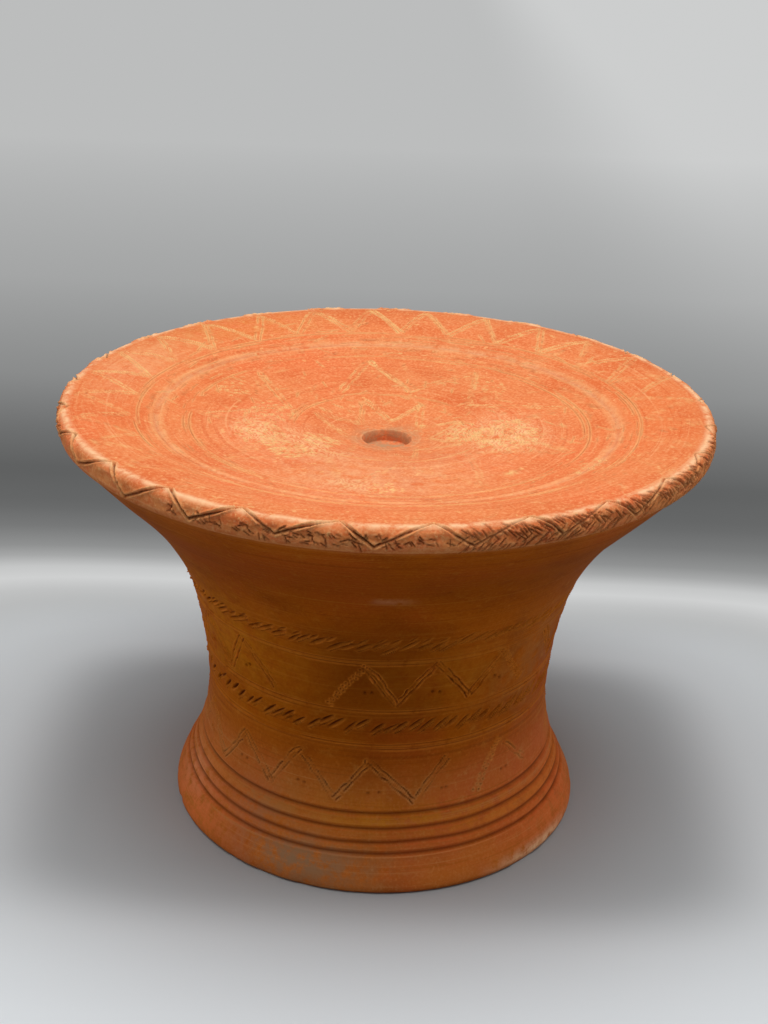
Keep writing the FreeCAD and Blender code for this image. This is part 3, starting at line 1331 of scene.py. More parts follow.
class Graph:
    """Small helper that adds shader nodes and joins them."""

    def __init__(self, name: str) -> None:
        """Start an empty material.

        Args:
            name: The material's name.
        """
        self.material = bpy.data.materials.new(name)
        self.material.use_nodes = True
        self.tree = self.material.node_tree
        self.tree.nodes.clear()

    def add(self, kind: str, **inputs: object) -> bpy.types.Node:
        """Add a node and set or link its inputs by name.

        Args:
            kind: The node's type.
            **inputs: Values or sockets, with spaces in the input's name written as underscores.

        Returns:
            The node.
        """
        node = self.tree.nodes.new(kind)
        for name, value in inputs.items():
            self.put(node.inputs[name.replace("_", " ")], value)
        return node

    def put(self, socket: bpy.types.NodeSocket, value: object) -> None:
        """Link a socket to another, or set its own value.

        Args:
            socket: The input; changed in place.
            value: A socket, a colour or a number.
        """
        if isinstance(value, bpy.types.NodeSocket):
            self.tree.links.new(value, socket)
        elif isinstance(value, tuple) and len(value) == 3 and socket.type == "RGBA":
            socket.default_value = (*value, 1.0)
        else:
            socket.default_value = value

    def maths(self, operation: str, first: object, second: object = 0.0) -> bpy.types.NodeSocket:
        """Add one step of arithmetic and return its result.

        Args:
            operation: The step's name.
            first: Its first number or socket.
            second: Its second number or socket.

        Returns:
            The result.
        """
        node = self.tree.nodes.new("ShaderNodeMath")
        node.operation = operation
        self.put(node.inputs[0], first)
        self.put(node.inputs[1], second)
        return node.outputs[0]

    def blend(self, share: object, first: object, second: object) -> bpy.types.NodeSocket:
        """Mix two colours and return the result.

        Args:
            share: Share of the second colour.
            first: The first colour.
            second: The second colour.

        Returns:
            The mixed colour.
        """
        node = self.tree.nodes.new("ShaderNodeMix")
        node.data_type = "RGBA"
        self.put(node.inputs["Factor"], share)
        self.put(node.inputs[6], first)
        self.put(node.inputs[7], second)
        return node.outputs[2]

    def grade(self, value: object, low: float, high: float, most: float = 1.0) -> bpy.types.NodeSocket:
        """Rise smoothly from 0 at low to a share at high.

        Args:
            value: The number to grade.
            low: Where the rise starts.
            high: Where it ends.
            most: The share reached there.

        Returns:
            The share.
        """
        node = self.tree.nodes.new("ShaderNodeMapRange")
        node.interpolation_type = "SMOOTHSTEP"
        for name, number in (("From Min", low), ("From Max", high), ("To Min", 0.0), ("To Max", most)):
            node.inputs[name].default_value = number
        self.put(node.inputs["Value"], value)
        return node.outputs["Result"]

    def ramp(self, value: object, stops: tuple[tuple[float, int], ...]) -> bpy.types.NodeSocket:
        """Turn a number into a grey, by its place between stops.

        Args:
            value: The number.
            stops: Numbers and the grey at each, 0 to 255.

        Returns:
            The grey.
        """
        reach = stops[-1][0]
        node = self.add("ShaderNodeValToRGB", Fac=self.maths("MULTIPLY", value, 1.0 / reach))
        elements = node.color_ramp.elements
        for element, (_, grey) in zip((elements[0], elements[1]), (stops[0], stops[-1])):
            element.color = (*srgb(grey, grey + 1, grey + 1), 1.0)
        for place, grey in stops[1:-1]:
            elements.new(place / reach).color = (*srgb(grey, grey + 1, grey + 1), 1.0)
        elements[0].position = stops[0][0] / reach
        return node.outputs["Color"]

    def noise(self, place: object, scale: float, detail: float = 3.0,
              rough: float = 0.55) -> bpy.types.NodeSocket:
        """Return smooth noise from 0 to 1."""
        node = self.add("ShaderNodeTexNoise", Vector=place, Scale=scale, Detail=detail, Roughness=rough)
        return node.outputs[0]

    def mark(self, name: str) -> bpy.types.NodeSocket:
        """Return one of the numbers kept with the points of the mesh.

        Args:
            name: The attribute's name.

        Returns:
            The number.
        """
        node = self.tree.nodes.new("ShaderNodeAttribute")
        node.attribute_name = name
        return node.outputs["Fac"]


@dataclass(frozen=True)
class ClayFinish:
    """Unglazed fired clay, the same over every joint, with its own grain.

    Attributes:
        slot: Material slot in the record.
        roughness: How matt it is.
        grain: Height of the fine grain, in millimetres.
        turning: Height of the fine turned streaks, in millimetres.
        mottle: How strongly the colour varies.
        fleck: How strongly small pale and dark flecks show.
        sheen: How much light the surface mirrors.
    """

    slot: str
    roughness: float
    grain: float
    turning: float
    mottle: float
    fleck: float
    sheen: float

    def build(self) -> bpy.types.Material:
        """Make the material.

        Returns:
            The material.
        """
        graph = Graph(self.slot)
        place = graph.tree.nodes.new("ShaderNodeTexCoord").outputs["Object"]
        streak = self._streaks(graph, place)
        broad = graph.noise(place, 11.0, 4.0, 0.6)
        cloud = graph.noise(place, 38.0, 4.0, 0.62)
        speck = graph.noise(place, 330.0, 2.0, 0.5)
        fine = graph.noise(place, 760.0, 2.0, 0.6)
        dust = graph.noise(place, 150.0, 5.0, 0.7)
        pale, deep = self._by_part(graph, "pale"), self._by_part(graph, "deep")
        colour = self._ground(graph, broad, cloud, streak)
        colour = graph.blend(graph.grade(dust, 0.56, 0.74, 0.5 * self.mottle), colour, pale)
        colour = graph.blend(graph.grade(fine, 0.50, 0.66, self.fleck), colour, pale)
        colour = graph.blend(graph.grade(fine, 0.48, 0.34, self.fleck), colour, deep)
        dusted = self._by_part(graph, "lime")
        colour = graph.blend(graph.grade(speck, 0.66, 0.72, self.fleck), colour, dusted)
        # Stains over the clay, among them painted shade and painted light.
        for name, tint in STAINS.items():
            patches = graph.grade(dust, 0.32, 0.60) if name in PATCHY else 1.0
            if name == "combed":
                patches = graph.maths("MULTIPLY", patches, self._ripples(graph, place))
            colour = graph.blend(graph.maths("MULTIPLY", graph.mark(name), patches), colour, tint)
        # Painted shade down in the cuts.
        cut = graph.maths("MULTIPLY", graph.mark("cut"), 0.92)
        colour = graph.blend(cut, colour, self._by_part(graph, "cut"))
        lime = graph.maths("MULTIPLY", graph.mark("lime"), graph.grade(dust, 0.24, 0.52))
        colour = graph.blend(lime, colour, dusted)
        height = graph.maths("MULTIPLY", fine, self.grain)
        height = graph.maths("ADD", height, graph.maths("MULTIPLY", speck, self.grain))
        height = graph.maths("ADD", height, graph.maths("MULTIPLY", dust, self.grain * 1.4))
        height = graph.maths("ADD", height, graph.maths("MULTIPLY", streak, self.turning))
        bump = graph.add("ShaderNodeBump", Height=height, Strength=1.0, Distance=MM)
        matt = graph.maths("ADD", graph.maths("MULTIPLY", dust, 0.12), self.roughness - 0.06)
        shader = graph.add("ShaderNodeBsdfPrincipled", Base_Color=colour, Roughness=matt,
                           Normal=bump.outputs[0])
        shader.inputs["Specular IOR Level"].default_value = self.sheen
        graph.add("ShaderNodeOutputMaterial", Surface=shader.outputs[0])
        return graph.material

    def _streaks(self, graph: Graph, place: bpy.types.NodeSocket) -> bpy.types.NodeSocket:
        """Return noise that runs round the drum, as turning leaves it.

        Args:
            graph: The material's graph.
            place: Where the skin is.

        Returns:
            Noise from 0 to 1.
        """
        parts = graph.add("ShaderNodeSeparateXYZ", Vector=place)
        across = graph.maths("MULTIPLY", parts.outputs[0], parts.outputs[0])
        deep = graph.maths("MULTIPLY", parts.outputs[1], parts.outputs[1])
        radius = graph.maths("SQRT", graph.maths("ADD", across, deep))
        first = graph.maths("ADD", graph.maths("MULTIPLY", radius, STREAKS_ACROSS),
                            graph.maths("MULTIPLY", parts.outputs[0], STREAKS_ROUND))
        second = graph.maths("ADD", graph.maths("MULTIPLY", parts.outputs[2], STREAKS_ACROSS),
                             graph.maths("MULTIPLY", parts.outputs[1], STREAKS_ROUND))
        vector = graph.add("ShaderNodeCombineXYZ", X=first, Y=second)
        return graph.noise(vector.outputs[0], 1.0, 3.0, 0.6)

    @staticmethod
    def _ripples(graph: Graph, place: bpy.types.NodeSocket) -> bpy.types.NodeSocket:
        """Return the fine curling lines that a thumb and a comb leave in chalky slip.

        Args:
            graph: The material's graph.
            place: Where the skin is.

        Returns:
            Their strength, from 0 to 1.
        """
        comb = graph.add("ShaderNodeTexWave", Vector=place, Scale=RIPPLE_SCALE, Distortion=RIPPLE_CURL,
                         Detail=3.0, Detail_Scale=0.9)
        return graph.grade(comb.outputs["Fac"], 0.30, 0.80)

    @staticmethod
    def _by_part(graph: Graph, name: str) -> bpy.types.NodeSocket:
        """Return one palette colour, blended from foot to body to head, and to raw clay inside.

        Args:
            graph: The material's graph.
            name: The colour's name in each palette.

        Returns:
            The colour.
        """
        clay = graph.mark("clay")
        low = graph.blend(graph.grade(clay, 0.0, 1.0), getattr(FOOT_CLAY, name), getattr(BODY_CLAY, name))
        high = graph.blend(graph.grade(clay, 1.0, 2.0), low, getattr(HEAD_CLAY, name))
        return graph.blend(graph.mark("raw"), high, getattr(RAW_CLAY, name))

    def _ground(self, graph: Graph, broad: bpy.types.NodeSocket, cloud: bpy.types.NodeSocket,
                streak: bpy.types.NodeSocket) -> bpy.types.NodeSocket:
        """Return the clay's own colour, before anything is laid on it.

        Args:
            graph: The material's graph.
            broad: Slow noise.
            cloud: Finer noise.
            streak: Noise that runs round the drum.

        Returns:
            The colour.
        """
        colour = self._by_part(graph, "ground")
        colour = graph.blend(graph.grade(cloud, 0.42, 0.72, 0.7 * self.mottle), colour,
                             self._by_part(graph, "deep"))
        colour = graph.blend(graph.grade(broad, 0.46, 0.66, 0.7 * self.mottle), colour,
                             self._by_part(graph, "blush"))
        colour = graph.blend(graph.grade(streak, 0.46, 0.34, 0.5 * self.mottle), colour,
                             self._by_part(graph, "deep"))
        return graph.blend(graph.grade(streak, 0.56, 0.68, 0.4 * self.mottle), colour,
                           self._by_part(graph, "pale"))


class Finish(Enum):
    """The finishes, one for each slot in the record."""

    FOOT = ClayFinish("clay_foot", 0.72, 0.12, 0.12, 1.2, 0.20, 0.06)
    BODY = ClayFinish("clay_body", 0.70, 0.13, 0.12, 1.1, 0.18, 0.03)
    HEAD = ClayFinish("clay_head", 0.78, 0.18, 0.22, 1.2, 0.44, 0.08)
    INSIDE = ClayFinish("clay_inside", 0.85, 0.14, 0.05, 1.0, 0.30, 0.10)


# ---------------------------------------------------------------------------------------
# Sub-assemblies
# ---------------------------------------------------------------------------------------


@dataclass(frozen=True)
class Seams:
    """Where the sections of the body meet, as heights at the outside."""

    foot_ring: float = 18.2
    lower_band: float = 68.4
    waist: float = 86.5
    upper_band: float = 115.1
    bell: float = 131.0


SEAMS = Seams()
FOOT_GROOVES = (35.4, 28.5, 22.8, 18.2)
BODY_LINE_PAIRS = (68.4, 86.5, 115.1)
DISH_LINE_PAIRS = (45.0, 93.0, 116.0)
DISH_GROOVE = 106.5
LINE_SPACING = 2.2
ROUND_STROKES: tuple[Point, ...] = ((2.6, 1.1), (1.0, 0.75))
HEAD_STROKES: tuple[Point, ...] = ((1.2, 1.1), (0.4, 0.75))
CLOSE_STROKES: tuple[Point, ...] = ((3.0, 1.1), (1.8, 0.75), (0.6, 0.5))


@dataclass
class Section:
    """A turned section of clay.

    Attributes:
        node: The frame's node that it stands for.
        finish: Its finish.
        spots: Its profile.
        levels: How it is refined near strokes.
        thumbs: Depth of thumb marks on its inner side.
    """

    node: str
    finish: Finish
    spots: list[Spot]
    levels: tuple[Point, ...] = ROUND_STROKES
    thumbs: float = 0.0

    def make(self, potter: Potter, finishes: dict[Finish, bpy.types.Material]) -> bpy.types.Object:
        """Turn, mark and finish the section.

        Args:
            potter: Who shapes it.
            finishes: The materials.

        Returns:
            The finished piece.
        """
        ring = potter.spin(self.spots)
        potter.refine(ring, self.levels)
        piece = potter.shape(ring, "look_" + self.node, self.thumbs)
        piece.data.materials.append(finishes[self.finish])
        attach(piece, BODY)
        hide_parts(self.node)
        return piece


@dataclass(frozen=True)
class Wall:
    """Divides the drum's wall into sections with bevelled joints."""

    outline: Outline
    outside: Meridian
    inside: Meridian
    spacing: float = 1.9
    inner_spacing: float = 5.0

    def corner_along(self) -> float:
        """Return how far along the inner skin the wall meets the underside of the head."""
        return float(self.inside.along[int(np.argmax(self.inside.radius * (self.inside.height > 150.0)))])

    def fine_places(self) -> tuple[float, ...]:
        """Return the distances along the outer skin at which lines are turned.

        Returns:
            The distances, sorted.
        """
        places = [self.outside.at_height(height) for height in FOOT_GROOVES]
        for height in BODY_LINE_PAIRS:
            middle = self.outside.at_height(height)
            places += [middle - LINE_SPACING / 2, middle + LINE_SPACING / 2]
        top = self.outside.at_radius(self.outline.dish_radius, self.outside.at_height(200.0))
        for radius in DISH_LINE_PAIRS:
            middle = self.outside.at_radius(radius, top)
            places += [middle - LINE_SPACING / 2, middle + LINE_SPACING / 2]
        places.append(self.outside.at_radius(DISH_GROOVE, top))
        return tuple(sorted(places))

    def outer(self, start: float, end: float, spacing: float | None = None) -> list[Spot]:
        """Return the outer spots between two distances along the skin."""
        step = spacing or self.spacing
        return skin_spots(self.outside, Side.OUTSIDE, start, end, step, self.fine_places())

    def inner(self, start: float, end: float) -> list[Spot]:
        """Return the inner spots between two distances along the skin, in reverse."""
        return skin_spots(self.inside, Side.INSIDE, start, end, self.inner_spacing)[::-1]

    def section(self, low: float, high: float) -> list[Spot]:
        """Return the profile of the wall between two joints.

        Args:
            low: Height of the lower joint at the outside.
            high: Height of the upper joint at the outside.

        Returns:
            The profile's spots.
        """
        rise = self.outline.seam_rise
        outer = self.outer(self.outside.at_height(low), self.outside.at_height(high))
        return outer + self.inner(self.inside.at_height(low + rise), self.inside.at_height(high + rise))


@dataclass
class Foot:
    """The ring that the drum stands on, and the flared wall above it."""

    wall: Wall
    pieces: list[bpy.types.Object] = field(default_factory=list)

    def build(self, potter: Potter, finishes: dict[Finish, bpy.types.Material]) -> None:
        """Make both pieces.

        Args:
            potter: Who shapes them.
            finishes: The materials.
        """
        wall = self.wall
        ring = wall.outer(0.0, wall.outside.at_height(SEAMS.foot_ring), 1.6)
        ring += wall.inner(0.0, wall.inside.at_height(SEAMS.foot_ring + wall.outline.seam_rise))
        self.pieces.append(Section("foot_ring", Finish.FOOT, ring).make(potter, finishes))
        flare = wall.section(SEAMS.foot_ring, SEAMS.lower_band)
        self.pieces.append(Section("foot_wall", Finish.FOOT, flare).make(potter, finishes))


@dataclass
class Waist:
    """The narrow middle: a rope band, a plain wall with teeth, and a second rope band."""

    wall: Wall
    pieces: list[bpy.types.Object] = field(default_factory=list)

    def build(self, potter: Potter, finishes: dict[Finish, bpy.types.Material]) -> None:
        """Make the three pieces.

        Args:
            potter: Who shapes them.
            finishes: The materials.
        """
        places = (
            ("lower_rope_band", SEAMS.lower_band, SEAMS.waist),
            ("waist_wall", SEAMS.waist, SEAMS.upper_band),
            ("upper_rope_band", SEAMS.upper_band, SEAMS.bell),
        )
        for node, low, high in places:
            section = Section(node, Finish.BODY, self.wall.section(low, high))
            self.pieces.append(section.make(potter, finishes))


@dataclass
class Bell:
    """The plain wall that opens out under the head."""

    wall: Wall
    pieces: list[bpy.types.Object] = field(default_factory=list)

    def build(self, potter: Potter, finishes: dict[Finish, bpy.types.Material]) -> None:
        """Make the piece.

        Args:
            potter: Who shapes it.
            finishes: The materials.
        """
        wall, outline = self.wall, self.wall.outline
        spots = wall.outer(wall.outside.at_height(SEAMS.bell), wall.outside.at_height(outline.seat_height))
        spots.append(corner(outline.dish_radius, outline.seat_height))
        spots += wall.inner(wall.inside.at_height(SEAMS.bell + outline.seam_rise), wall.corner_along())
        self.pieces.append(Section("bell_wall", Finish.BODY, spots).make(potter, finishes))


@dataclass
class Head:
    """The dished head and the coil that makes its lip."""

    wall: Wall
    lap_depth: float = 5.0
    lap_width: float = 3.0
    pieces: list[bpy.types.Object] = field(default_factory=list)

    def build(self, potter: Potter, finishes: dict[Finish, bpy.types.Material]) -> None:
        """Make both pieces.

        Args:
            potter: Who shapes them.
            finishes: The materials.
        """
        wall, outline = self.wall, self.wall.outline
        seat, dish = outline.seat_height, outline.dish_radius
        edge = wall.outside.at_radius(dish, wall.outside.at_height(seat + 6.0))
        flange = [
            corner(dish, seat + self.lap_depth),
            corner(dish + self.lap_width, seat + self.lap_depth),
            corner(dish + self.lap_width, seat),
        ]
        plate = wall.outer(edge, wall.outside.length)
        plate += skin_spots(wall.inside, Side.INSIDE, wall.corner_along(), wall.inside.length, 6.0)[::-1]
        plate += [corner(dish, seat)] + flange[::-1]
        self.pieces.append(Section("head_dish", Finish.HEAD, plate, HEAD_STROKES).make(potter, finishes))
        lip = wall.outer(wall.outside.at_height(seat), edge, 0.9) + flange
        self.pieces.append(Section("rim_coil", Finish.HEAD, lip, CLOSE_STROKES).make(potter, finishes))


@dataclass
class InsideCoils:
    """Coils of clay smeared over two joints from the inside."""

    wall: Wall
    head_coil: float = 12.0
    foot_coil: float = 6.0
    pieces: list[bpy.types.Object] = field(default_factory=list)

    def _coil(self, along: float, radius: float) -> list[Spot]:
        """Return the profile of a coil pressed on the inner skin round one place.

        Args:
            along: Distance of its middle along the inner skin.
            radius: The coil's radius.

        Returns:
            The profile's spots.
        """
        skin = self.wall.inside
        against = skin_spots(skin, Side.INSIDE, along - radius, along + radius, 2.0)
        middle_r, middle_z = (float(part[0]) for part in skin.place(np.array([along])))
        first, last = against[0], against[-1]
        start = math.atan2(last.height - middle_z, last.radius - middle_r)
        end = math.atan2(first.height - middle_z, first.radius - middle_r)
        if end < start:
            end += TURN
        reach = [math.hypot(spot.radius - middle_r, spot.height - middle_z) for spot in (last, first)]
        face = []
        for i in range(1, 12):
            share = i / 12
            angle = start + (end - start) * share
            size = reach[0] + (reach[1] - reach[0]) * share
            face.append(Spot(middle_r + size * math.cos(angle), middle_z + size * math.sin(angle),
                             0.0, Side.INSIDE))
        return [corner(spot.radius, spot.height) for spot in against] + face

    def build(self, potter: Potter, finishes: dict[Finish, bpy.types.Material]) -> None:
        """Make both coils.

        Args:
            potter: Who shapes them.
            finishes: The materials.
        """
        foot = self.wall.inside.at_height(SEAMS.foot_ring + self.wall.outline.seam_rise)
        places = (
            ("head_luting_coil", self.wall.corner_along(), self.head_coil),
            ("foot_luting_coil", foot, self.foot_coil),
        )
        for node, along, radius in places:
            section = Section(node, Finish.INSIDE, self._coil(along, radius), (), 0.5)
            self.pieces.append(section.make(potter, finishes))


# ---------------------------------------------------------------------------------------
# The drum's own marks
# ---------------------------------------------------------------------------------------


def decorate(wall: Wall) -> Ornament:
    """Draw every pattern on the drum.

    Args:
        wall: The drum's wall, for its outer skin.

    Returns:
        The patterns.
    """
    skin = wall.outside
    ornament = Ornament(skin)
    up = skin.at_height
    top = skin.at_radius(wall.outline.dish_radius, up(200.0))
    lip_top = skin.at_radius(145.0, up(202.0))

    def dish(radius: float) -> float:
        """Return the distance along the skin of a radius on the head."""
        return skin.at_radius(radius, top - 4.0)

    body_tool = Scriber(1.1, 0.82, 0.58, 0.78)
    head_tool = Scriber(0.74, 0.42, 0.32, 0.95)
    star_tool = Scriber(0.70, 0.32, 0.24, 0.80)
    lip_tool = Scriber(1.4, 1.20, 0.95, 0.40)
    zigzags = (
        Zigzag(25, up(197.6), lip_top, -35.3, lip_tool, 0.63, 0.0, 0.9, 0.0, faint=80.0, wear=0.35, seed=3,
               rough=0.25),
        Zigzag(28, dish(118.5), dish(143.0), 171.6, head_tool, 0.5, 2.2, 1.1, 0.06, faint=10.0, wear=0.85,
               seed=4),
        Zigzag(9, dish(88.5), dish(50.0), 8.0, star_tool, 0.5, 2.3, 1.6, 0.16, faint=-5.0, wear=0.6, seed=6,
               rough=0.9),
        Zigzag(8, dish(20.0), dish(39.0), 20.0, star_tool, 0.5, 2.0, 1.2, 0.16, faint=-40.0, wear=0.5,
               seed=7, rough=0.9),
        Zigzag(18, up(91.5), up(113.0), -2.4, body_tool, 0.5, 2.4, 1.7, 0.14, 0.16, 2, 175.0, 0.15, 8, 0.9),
        Zigzag(16, up(41.0), up(60.0), 0.0, body_tool, 0.5, 2.4, 2.0, 0.12, 0.22, 2, 180.0, 0.22, 9, 1.0),
    )
    ropes = (
        RopeBand(92, up(74.9), up(83.2), 40.0, 8.8, 1.9, 1.15, -45.0, 0.30, 11),
        RopeBand(92, up(120.4), up(129.0), 30.0, 9.4, 1.8, 1.10, -50.0, 0.42, 12),
        RopeBand(84, up(124.5), up(130.5), 34.0, 6.0, 1.6, 0.70, -60.0, 0.95, 13),
    )
    dots = Scriber(0.68, 0.40, 0.24, 0.92)
    scratch = Scriber(0.7, 0.26, 0.18, 0.50)
    comb = Scriber(0.7, 0.22, 0.16, 0.22)
    nick = Scriber(0.72, 0.62, 0.52, 0.05)
    graze = Scriber(0.8, 0.20, 0.20, 1.0)
    patches = (
        Patch(80.0, dish(57.0), 21.0, 16.0, 210, 1.6, 30.0, 60.0, dots, seed=21),
        Patch(-72.0, dish(61.0), 16.0, 12.0, 90, 1.4, 0.0, 60.0, dots, seed=22),
        Patch(-61.0, dish(34.0), 10.0, 9.0, 60, 2.0, 70.0, 30.0, dots, seed=23),
        Patch(-47.0, dish(57.0), 13.0, 10.0, 90, 2.0, 80.0, 20.0, dots, seed=24),
        Patch(-116.0, dish(85.0), 10.0, 8.0, 30, 1.0, 0.0, 60.0, dots, seed=25),
        Patch(0.0, dish(82.0), 8.0, 7.0, 36, 0.0, 0.0, 0.0, dots, seed=26),
        Patch(136.0, dish(76.0), 12.0, 8.0, 30, 1.0, 0.0, 60.0, dots, seed=27),
        Patch(57.0, dish(105.0), 12.0, 5.0, 40, 1.0, 0.0, 60.0, dots, seed=28),
        Patch(88.0, dish(36.0), 13.0, 8.0, 60, 2.4, 20.0, 20.0, dots, seed=29),
        Patch(-100.0, dish(56.0), 14.0, 14.0, 70, 1.2, 0.0, 60.0, dots, seed=30),
        Patch(45.0, up(199.9), 88.0, 5.0, 370, 5.4, 42.0, 9.0, nick, True, 31),
        Patch(-13.0, up(199.3), 62.0, 3.2, 100, 3.0, -30.0, 30.0, nick, seed=32),
        Patch(-84.0, up(200.0), 40.0, 4.0, 120, 4.0, 50.0, 25.0, nick, seed=33),
        Patch(170.0, up(200.0), 200.0, 4.0, 200, 4.0, 30.0, 40.0, nick, seed=36),
        Patch(170.0, dish(80.0), 150.0, 55.0, 170, 8.0, 0.0, 40.0, scratch, seed=34),
        Patch(0.0, dish(104.0), 480.0, 16.0, 420, 9.0, 0.0, 5.0, comb, seed=38),
        Patch(44.0, dish(80.0), 6.0, 1.0, 12, 3.6, 25.0, 12.0, graze, seed=37),
        Patch(0.0, up(150.0), 190.0, 16.0, 30, 7.0, 20.0, 60.0, Scriber(0.8, 0.16, 0.08, 0.0), seed=35),
    )
    for pattern in (*zigzags, *ropes, *patches):
        ornament.strokes += pattern.strokes(skin)
    for i, height in enumerate(FOOT_GROOVES):
        ornament.lines.append(TurnedLine(up(height), 2.3, 1.05, 0.42, 0.0, 0.35, 0.0, 0.75, i))
    for i, height in enumerate(BODY_LINE_PAIRS):
        for j, side in enumerate((-0.5, 0.5)):
            place = up(height) + side * LINE_SPACING
            ornament.lines.append(TurnedLine(place, 1.0, 0.45, 0.28, 0.55, 0.25, 0.75, 0.6, 10 + 2 * i + j))
    for i, radius in enumerate(DISH_LINE_PAIRS):
        for j, side in enumerate((-0.5, 0.5)):
            place = dish(radius) + side * LINE_SPACING
            ornament.lines.append(TurnedLine(place, 0.85, 0.44, 0.28, 0.46, 0.5, 1.1, 0.45, 20 + 2 * i + j))
    ornament.lines.append(TurnedLine(dish(DISH_GROOVE), 3.2, 0.7, 0.25, 0.25, 0.5, 0.3, 0.15, 30))
    return ornament


def age(wall: Wall) -> Wear:
    """Return the chips and stains of long use, with painted shade and painted light laid among the stains.

    Args:
        wall: The drum's wall, for its outer skin.

    Returns:
        The chips and stains.
    """
    skin = wall.outside
    up = skin.at_height
    lip = up(200.0)
    plate = up(203.0)

    def dish(radius: float) -> float:
        """Return the distance along the skin of a radius on the head."""
        return skin.at_radius(radius, plate)

    all_round = 5000.0
    ochre = [Stain(turn, up(height), 75.0, 3.6, 0.65)
             for turn, height in ((8.0, 31.8), (62.0, 26.0), (-40.0, 32.0), (120.0, 30.0), (-150.0, 27.0))]
    ochre += [
        Stain(-135.0, dish(132.0), 60.0, 16.0, 0.28),
        Stain(-52.0, up(108.0), 45.0, 34.0, 0.50),
        Stain(0.0, up(199.0), all_round, 4.5, 0.35),
        Stain(30.0, up(104.0), 40.0, 20.0, 0.25),
        Stain(-10.0, up(35.0), 70.0, 14.0, 0.30),
    ]
    pale_dust_and_painted_light = (
        Stain(2.0, up(155.0), 8.0, 2.6, 0.18),
        Stain(-70.0, up(22.0), 24.0, 12.0, 0.25),
        Stain(52.0, 5.0, 26.0, 3.2, 1.0),
        Stain(80.0, dish(57.0), 24.0, 18.0, 0.30),
        # Painted light that lifts the shaded socket.
        Stain(0.0, dish(6.0), all_round, 12.0, 0.30),
        Stain(0.0, up(198.5), all_round, 5.0, 0.12),
        Stain(-72.0, dish(60.0), 30.0, 20.0, 0.22),
        Stain(-110.0, dish(130.0), 50.0, 14.0, 0.30),
        Stain(-8.0, dish(70.0), 60.0, 40.0, 0.28),
        Stain(0.0, dish(106.5), all_round, 2.4, 0.35),
        # Painted highlight along the lip's top edge, over its pale worn edge.
        Stain(0.0, skin.at_radius(146.8, up(202.0)), all_round, 1.7, 1.0),
    )
    rust = (
        Stain(-62.0, up(14.0), 55.0, 26.0, 0.75),
        Stain(70.0, up(18.0), 50.0, 26.0, 0.65),
        Stain(168.0, up(20.0), 70.0, 22.0, 0.50),
        Stain(-95.0, dish(120.0), 75.0, 30.0, 0.32),
        Stain(88.0, dish(122.0), 75.0, 28.0, 0.30),
    )
    soil = (
        Stain(-20.0, up(12.0), 34.0, 12.0, 0.95),
        Stain(-34.0, up(26.0), 26.0, 16.0, 0.45),
        Stain(0.0, dish(6.0), all_round, 13.0, 1.0),
        Stain(62.0, up(100.0), 36.0, 40.0, 0.24),
        Stain(105.0, up(12.0), 30.0, 9.0, 0.30),
    )
    # Painted shade: the bell darkened all round under the lip, the front of the body darkened, and a
    # painted contact shadow along the foot's bottom edge.
    painted_shade = (
        Stain(0.0, up(166.0), all_round, 38.0, 0.46),
        Stain(0.0, up(112.0), 38.0, 48.0, 0.62),
        Stain(0.0, 1.4, all_round, 1.6, 0.60),
    )
    combed = (
        Stain(80.0, dish(57.0), 24.0, 17.0, 0.95),
        Stain(88.0, dish(36.0), 14.0, 9.0, 0.75),
        Stain(-52.0, dish(46.0), 22.0, 13.0, 0.85),
        Stain(-74.0, dish(62.0), 22.0, 12.0, 0.75),
        Stain(-10.0, dish(80.0), 14.0, 10.0, 0.60),
    )
    stains = {"painted_shade": painted_shade, "ochre": tuple(ochre), "rust": rust, "soil": soil, "pale_dust_and_painted_light": pale_dust_and_painted_light,
              "combed": combed}
    return Wear(stains, lip, 3.5)


@dataclass
class Drum:
    """The whole drum."""

    outline: Outline = field(default_factory=Outline)

    def build(self) -> list[bpy.types.Object]:
        """Make every piece.

        Returns:
            The pieces.
        """
        outside, inside = self.outline.outside(), self.outline.inside()
        wall = Wall(self.outline, outside, inside)
        potter = Potter(outside, inside, decorate(wall), Sway(), age(wall),
                        body_top=outside.at_height(self.outline.seat_height),
                        foot_top=outside.at_height(SEAMS.lower_band))
        finishes = {finish: finish.value.build() for finish in Finish}
        made: list[bpy.types.Object] = []
        for part in (Foot(wall), Waist(wall), Bell(wall), Head(wall), InsideCoils(wall)):
            part.build(potter, finishes)
            made += part.pieces
        return made


# ---------------------------------------------------------------------------------------
# Studio
# ---------------------------------------------------------------------------------------


